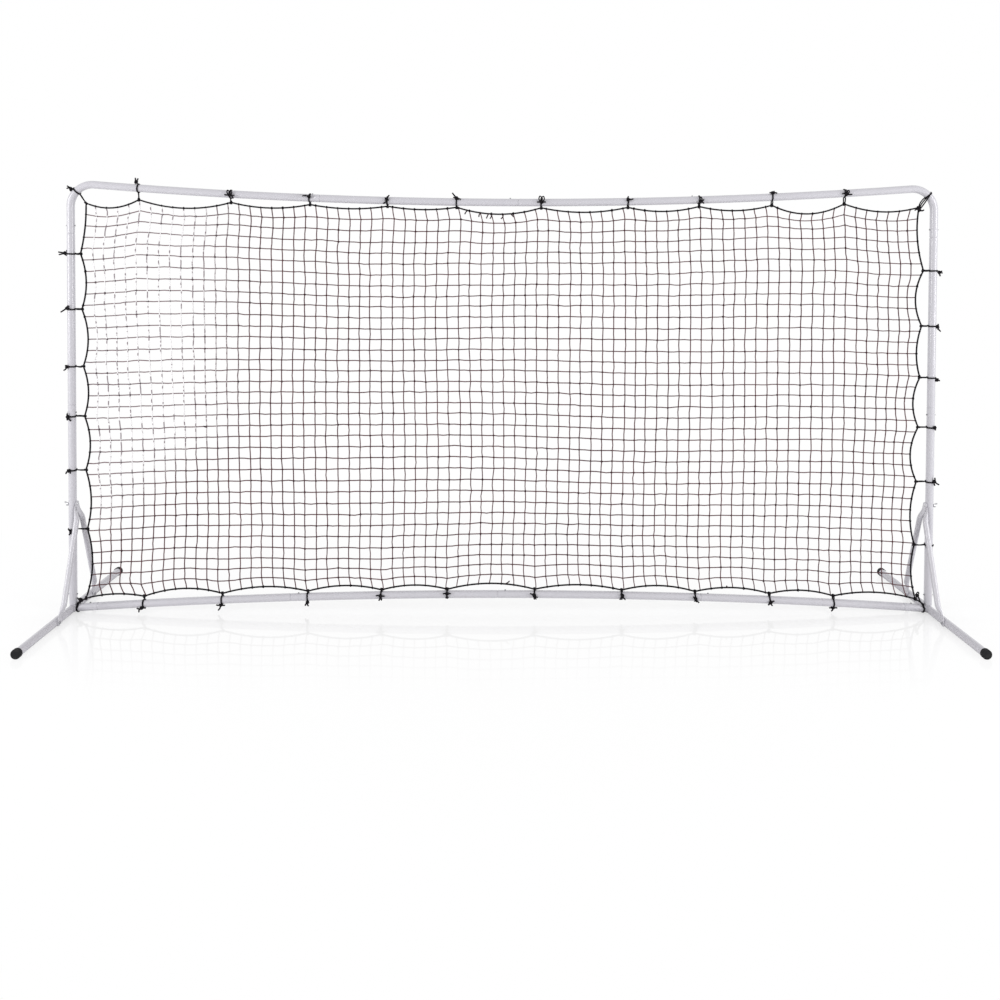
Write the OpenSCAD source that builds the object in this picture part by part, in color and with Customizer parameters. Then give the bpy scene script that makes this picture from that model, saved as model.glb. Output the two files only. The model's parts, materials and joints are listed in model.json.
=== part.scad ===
// Pitch back rebounder: a net laced into a frame of plug-together steel tubes on two braced feet.
// X runs along the width, Y through the depth with the front at -Y, and Z is up.
// The origin is on the floor under the middle of the frame.

/* [Frame] */
// Width over both uprights
frame_w = 3660; // [3500:10:3900]
// Height of the top corners above the floor
frame_h = 1818; // [1780:1:1900]
// Centreline radius of the two top bends
bend_r = 90; // [70:5:110]
// Rise of the bottom rail from its end joints to its middle
bottom_rise = 53; // [30:1:70]

/* [Tube] */
// Outside diameter of every frame tube
tube_d = 32; // [30:0.5:35]
// Wall of the rail and upright tubes
tube_wall = 1.2; // [1:0.1:1.6]
// Wall of the foot tubes
foot_wall = 1.5; // [1.2:0.1:2]

/* [Plug joints] */
// Length of a reduced male end inside the next tube
spigot_len = 60; // [52:1:75]
// Radial clearance of a male end in the next tube
spigot_gap = 0.2; // [0.15:0.05:0.4]
// Length of the taper down to a male end
swage_len = 4; // [2:0.5:8]
// Open seam between a tube's end and the taper beside it
seam = 0.5; // [0.3:0.1:1.5]
// Left joint of the top rail along X
top_joint_left = -774; // [-795:1:-730]
// Middle joint of the top rail along X
top_joint_mid = 56; // [0:1:110]
// Right joint of the top rail along X
top_joint_right = 822; // [780:1:850]
// Height of the joint under each corner tube
leg_joint_z = 1600; // [1560:1:1620]
// Height of the joint halfway up each upright
mid_joint_z = 878; // [874:1:930]
// Length of the welded rail stub on each foot frame, from the foot's axis
rail_stub_len = 104; // [98:1:125]
// First inner joint of the bottom rail along X
bottom_joint_1 = -894; // [-930:1:-860]
// Second inner joint of the bottom rail along X
bottom_joint_2 = -20; // [-60:1:60]
// Third inner joint of the bottom rail along X
bottom_joint_3 = 842; // [835:1:900]

/* [Snap buttons] */
// Diameter of a snap button
button_d = 6.4; // [5:0.1:7]
// How far a button stands out of the outer tube
button_proud = 4; // [2.5:0.5:5]
// Radial gap of a button in its holes
button_gap = 0.3; // [0.2:0.05:0.5]
// Distance of a button from its joint
button_from_joint = 31; // [28:1:36]
// Distance of the lowest buttons from the upright's lower end
base_button_up = 41; // [36:1:46]
// Diameter of the button's inner shoulder
shoulder_d = 9; // [8:0.5:10]
// Thickness of the button's inner shoulder
shoulder_t = 1; // [0.8:0.1:1.5]
// Width of the spring strip
spring_w = 8; // [6:0.5:9]
// Thickness of the spring strip
spring_t = 0.8; // [0.6:0.1:1]
// Length of the spring from its button to the start of its bend
spring_len = 26; // [20:1:27]
// Radius of the spring's bend
spring_bend_r = 4; // [3:0.5:5]

/* [Feet] */
// Length of a foot tube
foot_len = 892; // [700:2:1100]
// Gap between an upright's lower end and the foot tube under it
upright_gap = 1.5; // [1:0.5:4]
// Wall of a rubber end cap
cap_wall = 3; // [2.5:0.5:5]
// Length of an end cap's skirt over the tube
cap_skirt = 12; // [8:1:25]
// Thickness of an end cap's closed end
cap_end = 4; // [3:0.5:6]
// Rounding of an end cap's outer edge
cap_round = 1.5; // [1:0.5:2.5]
// Depth of the flat that an end cap stands on
cap_flat = 0.5; // [0.3:0.1:1]
// Radial clearance of an end cap on its tube
cap_gap = 0.1; // [0.05:0.05:0.2]

/* [Braces] */
// Height of the upper brace bolt above the foot's axis
brace_rise = 442; // [400:1:500]
// Distance of a lower brace bolt from the upright's axis
brace_reach = 158; // [145:1:220]
// Outside diameter of a brace tube
brace_d = 22; // [20:0.5:24]
// Wall of a brace tube
brace_wall = 1.2; // [1:0.1:1.5]
// Width of a brace's flattened end
brace_flat_w = 26; // [24:1:28]
// Distance from a brace bolt to where the flat end begins to open out
brace_flat_len = 42; // [41:1:55]
// Length over which a flat end opens out to the round tube
brace_blend = 24; // [15:1:40]

/* [Fasteners] */
// Diameter of the brace bolts
bolt_d = 6; // [5:0.5:8]
// Radial clearance of a bolt in its holes
bolt_gap = 0.25; // [0.2:0.05:0.5]
// Diameter of a domed bolt head
head_d = 13; // [11:0.5:16]
// Height of a domed bolt head
head_h = 3.4; // [2.5:0.1:4]
// Width of a hexagon nut across its flats
nut_af = 10; // [9:0.5:13]
// Height of a hexagon nut
nut_h = 5; // [4:0.5:7]
// Diameter of the washer under a wing nut
washer_d = 16; // [14:0.5:18]
// Thickness of that washer
washer_t = 1.4; // [1:0.1:2]
// Height of a wing nut's hub
wing_hub_h = 7; // [6:0.5:9]
// Diameter of a wing nut's hub at its base
wing_hub_d = 12; // [11:0.5:14]
// Distance from a wing's rounded tip to the bolt's axis
wing_out = 10.5; // [9:0.5:13]
// Height of a wing's rounded tip above the hub's base
wing_up = 9.5; // [8:0.5:12]
// Radius of a wing's rounded tip
wing_r = 4.2; // [3.5:0.1:5]
// Thickness of a wing
wing_t = 2.2; // [1.8:0.1:3]
// Bolt thread that shows beyond a nut
thread_show = 2; // [1:0.5:4]

/* [Net and cords] */
// Net openings drawn across the width
net_cols = 24; // [10:1:25]
// Net openings drawn up the height
net_rows = 12; // [6:1:12]
// Width of a drawn net strand
strand_w = 5; // [3:0.5:6]
// Thickness of the net
net_t = 2.4; // [1.6:0.2:3]
// Diameter of the border cord
border_d = 5; // [4:0.5:6]
// Diameter of the border cord's knots at the ties
border_knot_d = 7.2; // [6.5:0.1:9]
// Diameter of the lacing cord
lace_d = 3.2; // [2.5:0.1:4]
// Diameter of a lacing knot
lace_knot_d = 9; // [7:0.5:11]
// Height of a lacing knot
lace_knot_h = 6; // [4:0.5:8]
// Length of a knot's loose tails
tail_len = 16; // [10:1:24]
// Gap from the top rail to the border cord's axis in the middle
top_gap_mid = 6; // [5:0.5:12]
// How much that gap grows towards the corners
top_gap_grow = 40; // [0:1:45]
// Gap from the bottom rail to the border cord's axis in the middle
bottom_gap_mid = 5; // [5:0.5:12]
// How much that gap grows towards the feet
bottom_gap_grow = 14; // [0:1:30]
// Gap from an upright to the border cord's axis at the foot
side_gap_low = 52; // [25:1:60]
// Gap from an upright to the border cord's axis at the top corner
side_gap_high = 18; // [12:1:40]
// Depth to which the border's scallops fade out in the net
scallop_fade = 110; // [60:10:200]
// Mean depth of the scallops between ties
scallop_depth = 22; // [16:1:26]
// Net's top corner beyond the bend's start, outwards
top_corner_out = 26; // [20:1:32]
// And upwards
top_corner_up = 13; // [8:1:18]
// Net's bottom corner inside the upright's axis
bottom_corner_in = 54; // [48:1:70]
// And above the foot's axis
bottom_corner_up = 40; // [34:1:50]

/* [Hidden] */

steel_color = [0.83, 0.84, 0.88];
zinc_color = [0.55, 0.56, 0.58];
rubber_color = [0.05, 0.05, 0.05];
cord_color = [0.08, 0.08, 0.09];

// Smoothness of round pieces, of the two bends and of the very large rail arcs
round_fn = 64;
small_fn = 32;
bend_fn = 120;
rail_fn = 1440;

// Overshoot of a cut past the surface that it opens
cut = 1;

// Length of a male end's root inside its own tube
root_len = 3;

tube_r = tube_d / 2;
tube_bore_r = tube_r - tube_wall;
spigot_r = tube_bore_r - spigot_gap;
spigot_bore_r = spigot_r - tube_wall;

// Axis of an upright and of a foot tube
half_w = frame_w / 2 - tube_r;
foot_z = tube_r + cap_wall - cap_flat;
base_end_z = foot_z + tube_r + upright_gap;

// The top rail is one arc that hangs between the two bends and meets them without a kink.
// Its slope there is 3 in 79 to the middle, with a sine and cosine of five exact digits: the pieces join true
bend_x = half_w - bend_r;
bend_z = frame_h - tube_r - bend_r;
half_slope = 3 / 79;
top_slope = 2 * atan(half_slope);
top_sag = half_slope * bend_x;
top_arc_r = round(bend_x / sin(top_slope) - bend_r);
top_arc_z = frame_h - tube_r - top_sag + top_arc_r;

// The bottom rail is one arc between the end joints, and the stubs run on from it straight to the feet
stub_joint_x = half_w - rail_stub_len;
stub_slope = 2 * atan(bottom_rise / stub_joint_x);
bottom_arc_r = round(stub_joint_x / sin(stub_slope));
bottom_arc_z = foot_z + rail_stub_len * tan(stub_slope) + bottom_rise - bottom_arc_r;
bottom_joints = [-stub_joint_x, bottom_joint_1, bottom_joint_2, bottom_joint_3, stub_joint_x];

// A snap button's stack, measured out from the tube's axis
shoulder_top = sqrt(pow(spigot_bore_r, 2) - pow(shoulder_d / 2, 2)) - 0.3;
leaf_top = shoulder_top - shoulder_t;
button_top = tube_r + button_proud;
dome_r = button_d * 0.6;
leg_button_z = leg_joint_z + button_from_joint;
mid_button_z = mid_joint_z - button_from_joint;
base_button_z = base_end_z + base_button_up;

brace_bolt_z = foot_z + brace_rise;
brace_len = norm([brace_rise, brace_reach]);
brace_lean = atan(brace_reach / brace_rise);
brace_flat_t = 2 * brace_wall;
brace_stack = brace_flat_t + 0.1;

lace_r = lace_d / 2;
strand_r = lace_r * 0.8;
lace_step = lace_r + 0.05;
wrap_r = tube_r + lace_r + 0.1;
tail_splay = 55;

// Ties along each side in the order that the lacing goes round, as shares of the half width or of the height
top_ties = half_w * [0.79, 0.6213, 0.452, 0.2867, 0.0854, -0.1103, -0.2701, -0.4493, -0.6312, -0.8434];
left_ties = frame_h * [0.8322, 0.7046, 0.5726, 0.4571, 0.3322, 0.1947];
bottom_ties = half_w * [-0.8352, -0.6533, -0.4542, -0.2828, -0.129, 0.075, 0.2789, 0.4509, 0.6257, 0.7762];
right_ties = frame_h * [0.1606, 0.3091, 0.4367, 0.5528, 0.6733, 0.802];

// Each scallop's depth between them
top_sags = scallop_depth * [1.18, 1.77, 0.91, 0.86, 0.91, 1.27, 0.55, 0.64, 0.86, 1.36, 1.23];
left_sags = scallop_depth * [0.32, 0.95, 1.05, 0.86, 0.95, 0.86, 1.09];
bottom_sags = scallop_depth * [0.64, 1.23, 1.09, 0.95, 0.86, 1.14, 0.95, 1, 0.95, 0.86, 1];
right_sags = scallop_depth * [0.77, 1, 1.36, 1.18, 0.82, 1.36, 0.73];
net_top_corner = [bend_x + top_corner_out, bend_z + top_corner_up];
net_bottom_corner = [half_w - bottom_corner_in, foot_z + bottom_corner_up];

function top_z(x) = top_arc_z - sqrt(pow(top_arc_r, 2) - x * x);
function top_turn(x) = asin(x / top_arc_r);
function bottom_z(x) = bottom_arc_z + sqrt(pow(bottom_arc_r, 2) - x * x);
function bottom_turn(x) = asin(x / bottom_arc_r);
function mix(a, b, t) = a + (b - a) * t;
function flip(p) = [-p[0], p[1]];
function turned(list) = [for (i = [len(list) - 1 : -1 : 0]) list[i]];
function swapped(list) = [for (p = list) [p[1], p[0]]];

// Border points beside the ties
function top_point(x) = [x, top_z(x) - tube_r - top_gap_mid - top_gap_grow * pow(abs(x) / half_w, 2.5)];
function bottom_point(x) = [x, bottom_z(x) + tube_r + bottom_gap_mid + bottom_gap_grow * pow(x / half_w, 2)];
function side_x(z) = half_w - tube_r - mix(side_gap_low, side_gap_high, z / frame_h);

top_line = concat([net_top_corner], [for (x = top_ties) top_point(x)], [flip(net_top_corner)]);
left_line = concat(
    [flip(net_top_corner)], [for (z = left_ties) [-side_x(z), z]], [flip(net_bottom_corner)]
);
bottom_line = concat(
    [flip(net_bottom_corner)], [for (x = bottom_ties) bottom_point(x)], [net_bottom_corner]
);
right_line = concat([net_bottom_corner], [for (z = right_ties) [side_x(z), z]], [net_top_corner]);

// ---- shared shapes ----

// Half of a flat outline's points lie to the left of its path and half to the right
function beside(p, i, d) =
    let (
        run = p[min(i + 1, len(p) - 1)] - p[max(i - 1, 0)],
        along = run / norm(run)
    )
    p[i] + d * [-along[1], along[0]];
function strip(p, t) = concat(
    [for (i = [0 : len(p) - 1]) beside(p, i, t / 2)],
    [for (i = [len(p) - 1 : -1 : 0]) beside(p, i, -t / 2)]
);

module ring(outer, inner) {
    difference() {
        circle(outer, $fn = round_fn);
        circle(inner, $fn = round_fn);
    }
}

module pipe(z1, z2, outer, inner) {
    translate([0, 0, z1]) linear_extrude(z2 - z1) ring(outer, inner);
}

// A reduced male end that points along +Z from its tube's end at the origin, with its root inside the tube
module spigot() {
    tip = swage_len + seam + spigot_len;
    lip = tube_wall / 2;
    root_r = tube_r - lip;
    rotate_extrude($fn = round_fn)
        polygon([
            [spigot_bore_r, -root_len], [root_r, -root_len], [root_r, 0], [spigot_r, swage_len],
            [spigot_r, tip - lip], [spigot_r - lip, tip], [spigot_bore_r, tip],
        ]);
}

module button_hole() {
    cylinder(h = tube_r + cut, r = button_d / 2 + button_gap, $fn = small_fn);
}

// Places a child at a point of a rail, with its X along the tube and its Z pointing out at the top
module on_top_rail(x) {
    translate([x, 0, top_z(x)]) rotate([0, -top_turn(x), 0]) children();
}

module on_bottom_rail(x) {
    translate([x, 0, bottom_z(x)]) rotate([0, bottom_turn(x), 0]) children();
}

// Places a child on an upright, with its X pointing up the tube and its Z pointing outwards or inwards
module on_upright(side, z, outward = true) {
    translate([side * half_w, 0, z])
        mirror([(side > 0) == outward ? 1 : 0, 0, 0])
            rotate([0, -90, 0]) children();
}

// Tube bent to radius r that leaves the origin along +Z and bends towards +X. Its far end is cut on the
// same frame that bow_end gives, so the next piece meets it face to face
module bow(r, angle) {
    spare = 2 * tube_r / r * 180 / PI;
    difference() {
        translate([r, 0, 0]) rotate([-90, 0, 0])
            rotate_extrude(angle = angle + spare, start = 180, $fn = r > frame_h ? rail_fn : bend_fn)
                translate([r, 0]) rotate(90) ring(tube_r, tube_bore_r);
        bow_end(r, angle) translate([-tube_d, -tube_d, 0]) cube([2 * tube_d, 2 * tube_d, 2 * tube_d]);
    }
}

// Places a child at the far end of such a bow, with its Z along the tube there
module bow_end(r, angle) {
    translate([r, 0, 0]) rotate([0, angle, 0]) translate([-r, 0, 0]) children();
}

// Rail tubes that leave a place on their rail to the right or to the left
module rightwards() {
    rotate([0, 90, 0]) children();
}

module leftwards() {
    rotate([0, -90, 0]) children();
}

// ---- top rail and corners ----

// Leg, bend and rail piece of a right-hand corner, with a child placed at the rail's inner end
module corner_shell(inner_x) {
    sweep = 90 + top_slope;
    run = top_slope - top_turn(inner_x);
    translate([half_w, 0, bend_z]) {
        pipe(leg_joint_z - bend_z, 0, tube_r, tube_bore_r);
        rotate([0, 0, 180]) {
            bow(bend_r, sweep);
            bow_end(bend_r, sweep) rotate([0, 0, 180]) {
                bow(top_arc_r, run);
                bow_end(top_arc_r, run) children();
            }
        }
    }
}

module leg_button_holes(side) {
    for (outward = [true, false]) on_upright(side, leg_button_z, outward) button_hole();
}

module corner_tube_left() {
    color(steel_color) difference() {
        mirror([1, 0, 0]) corner_shell(-top_joint_left);
        leg_button_holes(-1);
        on_top_rail(top_joint_left - button_from_joint) button_hole();
    }
}

module corner_tube_right() {
    color(steel_color) difference() {
        corner_shell(top_joint_right + seam + swage_len) spigot();
        leg_button_holes(1);
        on_top_rail(top_joint_right - button_from_joint) button_hole();
    }
}

// Tube with a male left end in one joint and an open right end at the next
module top_tube(from_joint, to_joint) {
    body_x = from_joint + seam + swage_len;
    run = top_turn(to_joint) - top_turn(body_x);
    color(steel_color) difference() {
        on_top_rail(body_x) {
            rightwards() rotate([0, 0, 180]) bow(top_arc_r, run);
            leftwards() spigot();
        }
        on_top_rail(from_joint - button_from_joint) button_hole();
        on_top_rail(to_joint - button_from_joint) button_hole();
    }
}

// ---- uprights ----

module upright_mid(side) {
    low = mid_joint_z + seam + swage_len;
    high = leg_joint_z - seam - swage_len;
    color(steel_color) difference() {
        translate([side * half_w, 0, 0]) {
            pipe(low, high, tube_r, tube_bore_r);
            translate([0, 0, high]) spigot();
            translate([0, 0, low]) mirror([0, 0, 1]) spigot();
        }
        for (outward = [true, false]) {
            on_upright(side, leg_button_z, outward) button_hole();
            on_upright(side, mid_button_z, outward) button_hole();
        }
    }
}

module upright_lower(side) {
    color(steel_color) difference() {
        translate([side * half_w, 0, 0]) pipe(base_end_z, mid_joint_z, tube_r, tube_bore_r);
        for (outward = [true, false]) {
            on_upright(side, mid_button_z, outward) button_hole();
            on_upright(side, base_button_z, outward) button_hole();
        }
        translate([side * half_w, 0, brace_bolt_z]) bolt_hole();
    }
}

// ---- bottom rail ----

// A rail tube between two neighbouring joints. Every right end is male, and the first left end is too
module bottom_tube(i) {
    male_left = i == 0;
    step = seam + swage_len;
    x1 = bottom_joints[i] + (male_left ? step : 0);
    x2 = bottom_joints[i + 1] - step;
    run = bottom_turn(x2) - bottom_turn(x1);
    color(steel_color) difference() {
        on_bottom_rail(x1) {
            rightwards() {
                bow(bottom_arc_r, run);
                bow_end(bottom_arc_r, run) spigot();
            }
            if (male_left) leftwards() spigot();
        }
        on_bottom_rail(bottom_button_x(i)) button_hole();
        on_bottom_rail(bottom_button_x(i + 1)) button_hole();
    }
}

// The outer tube of a bottom joint lies to its right, but for the left foot's stub
function bottom_button_x(i) = bottom_joints[i] + (i == 0 ? -1 : 1) * button_from_joint;

// ---- feet ----

module bolt_hole() {
    rotate([0, 90, 0])
        cylinder(h = 2 * (tube_r + cut), r = bolt_d / 2 + bolt_gap, center = true, $fn = small_fn);
}

// Places a child on the axis of the right-hand rail stub at its joint, with its Z pointing to the foot
module on_stub() {
    on_bottom_rail(stub_joint_x) rotate([0, 90, 0]) children();
}

// Foot tube with an upright stub that plugs into the upright and a rail stub that takes the rail's end
module foot_frame(side) {
    stub_run = rail_stub_len / cos(stub_slope);
    stub_bore = stub_run - tube_r - cut;
    color(steel_color) mirror([side < 0 ? 1 : 0, 0, 0]) difference() {
        union() {
            translate([half_w, 0, foot_z]) rotate([90, 0, 0])
                cylinder(h = foot_len, r = tube_r, center = true, $fn = round_fn);
            translate([half_w, 0, foot_z + tube_r / 4])
                cylinder(h = base_end_z + spigot_len - foot_z - tube_r / 4, r = spigot_r, $fn = round_fn);
            on_stub() cylinder(h = stub_run, r = tube_r, $fn = round_fn);
        }
        translate([half_w, 0, foot_z]) rotate([90, 0, 0])
            cylinder(h = foot_len + 2 * cut, r = tube_r - foot_wall, center = true, $fn = round_fn);
        translate([half_w, 0, foot_z + tube_r + cut])
            cylinder(h = upright_gap + spigot_len, r = spigot_bore_r, $fn = round_fn);
        on_stub() translate([0, 0, -cut]) cylinder(h = stub_bore + cut, r = tube_bore_r, $fn = round_fn);
        for (outward = [true, false]) on_upright(1, base_button_z, outward) button_hole();
        on_stub() translate([0, 0, button_from_joint]) rotate([0, -90, 0]) button_hole();
        for (y = [-brace_reach, brace_reach]) translate([half_w, y, foot_z]) bolt_hole();
    }
}

// Rubber cap over a foot tube's end, with a rounded edge and a narrow flat to stand on
module end_cap(side, front) {
    outer = tube_r + cap_wall;
    len = cap_skirt + cap_end;
    color(rubber_color) difference() {
        translate([side * half_w, -front * (foot_len / 2 - cap_skirt), foot_z]) rotate([front * 90, 0, 0])
            rotate_extrude($fn = round_fn) difference() {
                union() {
                    square([outer, len - cap_round]);
                    square([outer - cap_round, len]);
                    translate([outer - cap_round, len - cap_round]) circle(cap_round, $fn = small_fn);
                }
                translate([-cut, -cut]) square([cut + tube_r + cap_gap, cut + cap_skirt]);
                translate([-outer, -cut]) square([outer, len + 2 * cut]);
            }
        translate([side * half_w - outer, -foot_len, -outer]) cube([2 * outer, 2 * foot_len, outer]);
    }
}

// ---- braces and their fasteners ----

// One flattened end with its bolt hole at the origin. The flat lies on the YZ plane and opens out along +Z
module brace_end() {
    lap = 1;
    inset = 0.15;
    mid_x = brace_d / 2;
    slot_t = 0.2;
    open_z = brace_flat_len + brace_blend;
    difference() {
        union() {
            rotate([0, 90, 0]) cylinder(h = brace_flat_t, d = brace_flat_w, $fn = round_fn);
            translate([0, -brace_flat_w / 2, 0]) cube([brace_flat_t, brace_flat_w, brace_flat_len]);
            hull() {
                translate([inset, inset - brace_flat_w / 2, brace_flat_len - lap])
                    cube([brace_flat_t - 2 * inset, brace_flat_w - 2 * inset, 0.1]);
                translate([mid_x, 0, open_z + lap]) cylinder(h = 0.1, r = mid_x - inset, $fn = small_fn);
            }
        }
        hull() {
            translate([(brace_flat_t - slot_t) / 2, -brace_flat_w / 2 + brace_flat_t, brace_flat_len + lap])
                cube([slot_t, brace_flat_w - 2 * brace_flat_t, 0.1]);
            translate([mid_x, 0, open_z + 2 * lap])
                cylinder(h = 0.1, r = mid_x - brace_wall - inset, $fn = small_fn);
        }
        rotate([0, 90, 0])
            cylinder(h = 6 * brace_flat_t, r = bolt_d / 2 + bolt_gap, center = true, $fn = small_fn);
    }
}

// Brace between a foot and an upright. The upper one of a pair leans in by the other's thickness
module brace(side, front) {
    upper = front > 0 ? 0 : brace_stack;
    open_z = brace_flat_len + brace_blend;
    color(steel_color) mirror([side < 0 ? 1 : 0, 0, 0])
        translate([half_w - tube_r, -front * brace_reach, foot_z])
            rotate([-front * brace_lean, 0, 0]) rotate([0, -asin(upper / brace_len), 0])
                mirror([1, 0, 0]) {
                    translate([brace_d / 2, 0, open_z])
                        pipe(0, brace_len - 2 * open_z, brace_d / 2, brace_d / 2 - brace_wall);
                    brace_end();
                    translate([0, 0, brace_len]) mirror([0, 0, 1]) brace_end();
                }
}

// Domed bolt along +X with its head's underside at the origin
module bolt(grip) {
    dome_r = (pow(head_d / 2, 2) + head_h * head_h) / (2 * head_h);
    rotate([0, 90, 0]) {
        cylinder(h = grip, d = bolt_d, $fn = small_fn);
        mirror([0, 0, 1]) rotate_extrude($fn = small_fn) intersection() {
            square([head_d, head_h]);
            translate([0, head_h - dome_r]) circle(dome_r, $fn = bend_fn);
        }
    }
}

// Grip of the bolt through the upright and of the one through a foot, each up to its thread's end
upper_grip = 2 * brace_stack + tube_d + washer_t + wing_hub_h + thread_show;
lower_grip = tube_d + brace_flat_t + 0.1 + nut_h + thread_show;

module brace_bolts() {
    color(zinc_color) for (side = [-1, 1]) mirror([side < 0 ? 1 : 0, 0, 0]) {
        translate([half_w - tube_r - 2 * brace_stack, 0, brace_bolt_z]) bolt(upper_grip);
        for (y = [-brace_reach, brace_reach])
            translate([half_w + tube_r, y, foot_z]) mirror([1, 0, 0]) bolt(lower_grip);
    }
}

module hex_nuts() {
    seat_x = half_w - tube_r - brace_flat_t - 0.1;
    color(zinc_color) for (side = [-1, 1]) mirror([side < 0 ? 1 : 0, 0, 0])
        for (y = [-brace_reach, brace_reach])
            translate([seat_x, y, foot_z]) rotate([0, -90, 0]) difference() {
                cylinder(h = nut_h, d = nut_af / cos(30), $fn = 6);
                translate([0, 0, -cut]) cylinder(h = nut_h + 2 * cut, r = bolt_d / 2 + 0.05, $fn = small_fn);
            }
}

module washers() {
    color(zinc_color) for (side = [-1, 1]) mirror([side < 0 ? 1 : 0, 0, 0])
        translate([half_w + tube_r, 0, brace_bolt_z]) rotate([0, 90, 0])
            pipe(0, washer_t, washer_d / 2, bolt_d / 2 + bolt_gap);
}

module wing_nut(side) {
    color(zinc_color) mirror([side < 0 ? 1 : 0, 0, 0])
        translate([half_w + tube_r + washer_t, 0, brace_bolt_z]) rotate([0, 90, 0]) difference() {
            union() {
                cylinder(h = wing_hub_h, d1 = wing_hub_d, d2 = wing_hub_d - 3, $fn = small_fn);
                rotate([0, 0, 40]) for (turn = [0, 180]) rotate([90, 0, turn])
                    linear_extrude(wing_t, center = true) {
                        translate([wing_out, wing_up]) circle(wing_r, $fn = small_fn);
                        polygon([
                            [0, 1],
                            [wing_hub_d / 2 - 1, 0.6],
                            [wing_out + wing_r * 0.8, wing_up - wing_r * 0.6],
                            [wing_out - wing_r * 0.6, wing_up + wing_r * 0.8],
                            [wing_hub_d / 4, wing_hub_h - 1],
                            [0, wing_hub_h - 1],
                        ]);
                    }
            }
            translate([0, 0, -cut])
                cylinder(h = 2 * wing_up + 2 * cut, r = bolt_d / 2 + 0.05, $fn = small_fn);
        }
}

// ---- snap buttons ----

// Button on a joint's own frame: its shoulder inside the male end, its dome out of the outer tube
module button() {
    r = button_d / 2;
    dome_z = button_top - dome_r;
    color(zinc_color) rotate_extrude($fn = small_fn) {
        translate([0, leaf_top]) square([shoulder_d / 2, shoulder_t]);
        translate([0, leaf_top]) square([r, dome_z - leaf_top]);
        intersection() {
            translate([0, dome_z - cut]) square([r, dome_r + cut]);
            translate([0, dome_z]) circle(dome_r, $fn = round_fn);
        }
    }
}

// Bent spring strip in a joint's own frame, with its bend towards -X and one leg under each button.
// A lone button's other leg rests on the far wall
module spring(pair) {
    leg_z = leaf_top - spring_t / 2;
    rest_z = sqrt(pow(spigot_bore_r, 2) - pow(spring_w / 2, 2)) - spring_t / 2 - 0.05;
    far_z = pair ? leg_z : rest_z;
    tip = shoulder_d / 2 + 1;
    path = concat(
        [[tip, leg_z], [-tip, leg_z]],
        [for (a = [90 : 22.5 : 270]) [-spring_len, 0] + spring_bend_r * [cos(a), sin(a)]],
        [[-tip, -far_z], [tip, -far_z]]
    );
    color(zinc_color) translate([0, spring_w / 2, 0]) rotate([90, 0, 0])
        linear_extrude(spring_w) polygon(strip(path, spring_t));
}

module springs_top_rail() {
    for (x = [top_joint_left, top_joint_mid, top_joint_right])
        on_top_rail(x - button_from_joint) mirror([1, 0, 0]) spring(false);
}

module springs_bottom_rail() {
    on_bottom_rail(bottom_button_x(0)) mirror([1, 0, 0]) spring(false);
    for (i = [1 : 4]) on_bottom_rail(bottom_button_x(i)) spring(false);
}

module springs_upright(side) {
    on_upright(side, leg_button_z) spring(true);
    on_upright(side, mid_button_z) mirror([1, 0, 0]) spring(true);
    on_upright(side, base_button_z) spring(true);
}

// ---- net, border cord and lacing ----

// Depth of the scallop at t on a line whose points rise along their first value
function scallop(t, line, sags) =
    let (
        k = max(0, min(len(sags) - 1, len([for (p = line) if (p[0] <= t) 1]) - 1)),
        s = max(0, min(1, (t - line[k][0]) / (line[k + 1][0] - line[k][0])))
    )
    4 * sags[k] * s * (1 - s);

top_table = turned(top_line);
top_depths = turned(top_sags);
left_table = turned(swapped(left_line));
left_depths = turned(left_sags);
right_table = swapped(right_line);

// Point of the net at u across and v up, both 0 to 1: an even mesh, drawn to the scallops at its edges
function net_point(u, v) =
    let (
        height = mix(net_bottom_corner[1], net_top_corner[1], v),
        span_x = 2 * net_bottom_corner[0],
        span_z = net_top_corner[1] - net_bottom_corner[1],
        x = mix(lookup(height, left_table), lookup(height, right_table), u)
            + scallop(height, left_table, left_depths) * exp(-u * span_x / scallop_fade)
            - scallop(height, right_table, right_sags) * exp(-(1 - u) * span_x / scallop_fade)
    )
    [
        x,
        mix(lookup(x, bottom_line), lookup(x, top_table), v)
            + scallop(x, bottom_line, bottom_sags) * exp(-v * span_z / scallop_fade)
            - scallop(x, top_table, top_depths) * exp(-(1 - v) * span_z / scallop_fade),
    ];

// Outline of one opening, with more points along an edge that lies on the border
function opening(i, j) =
    let (
        span_x = 2 * net_bottom_corner[0],
        span_z = net_top_corner[1] - net_bottom_corner[1],
        rim = border_d / 2 + 0.7,
        u1 = i / net_cols + (i == 0 ? rim : strand_w / 2) / span_x,
        u2 = (i + 1) / net_cols - (i == net_cols - 1 ? rim : strand_w / 2) / span_x,
        v1 = j / net_rows + (j == 0 ? rim : strand_w / 2) / span_z,
        v2 = (j + 1) / net_rows - (j == net_rows - 1 ? rim : strand_w / 2) / span_z,
        nu = j == 0 || j == net_rows - 1 ? 4 : 1,
        nv = i == 0 || i == net_cols - 1 ? 4 : 1
    )
    concat(
        [for (k = [0 : nu - 1]) net_point(mix(u1, u2, k / nu), v1)],
        [for (k = [0 : nv - 1]) net_point(u2, mix(v1, v2, k / nv))],
        [for (k = [0 : nu - 1]) net_point(mix(u2, u1, k / nu), v2)],
        [for (k = [0 : nv - 1]) net_point(u1, mix(v2, v1, k / nv))]
    );

// Points of one side of the border, following its scallops
function scalloped(line, sags) = [
    for (k = [0 : len(sags) - 1])
        let (
            run = line[k + 1] - line[k],
            inward = [-run[1], run[0]] / norm(run)
        )
        for (s = [0 : 5]) line[k] + run * s / 6 + inward * 4 * sags[k] * (s / 6) * (1 - s / 6)
];

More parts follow.
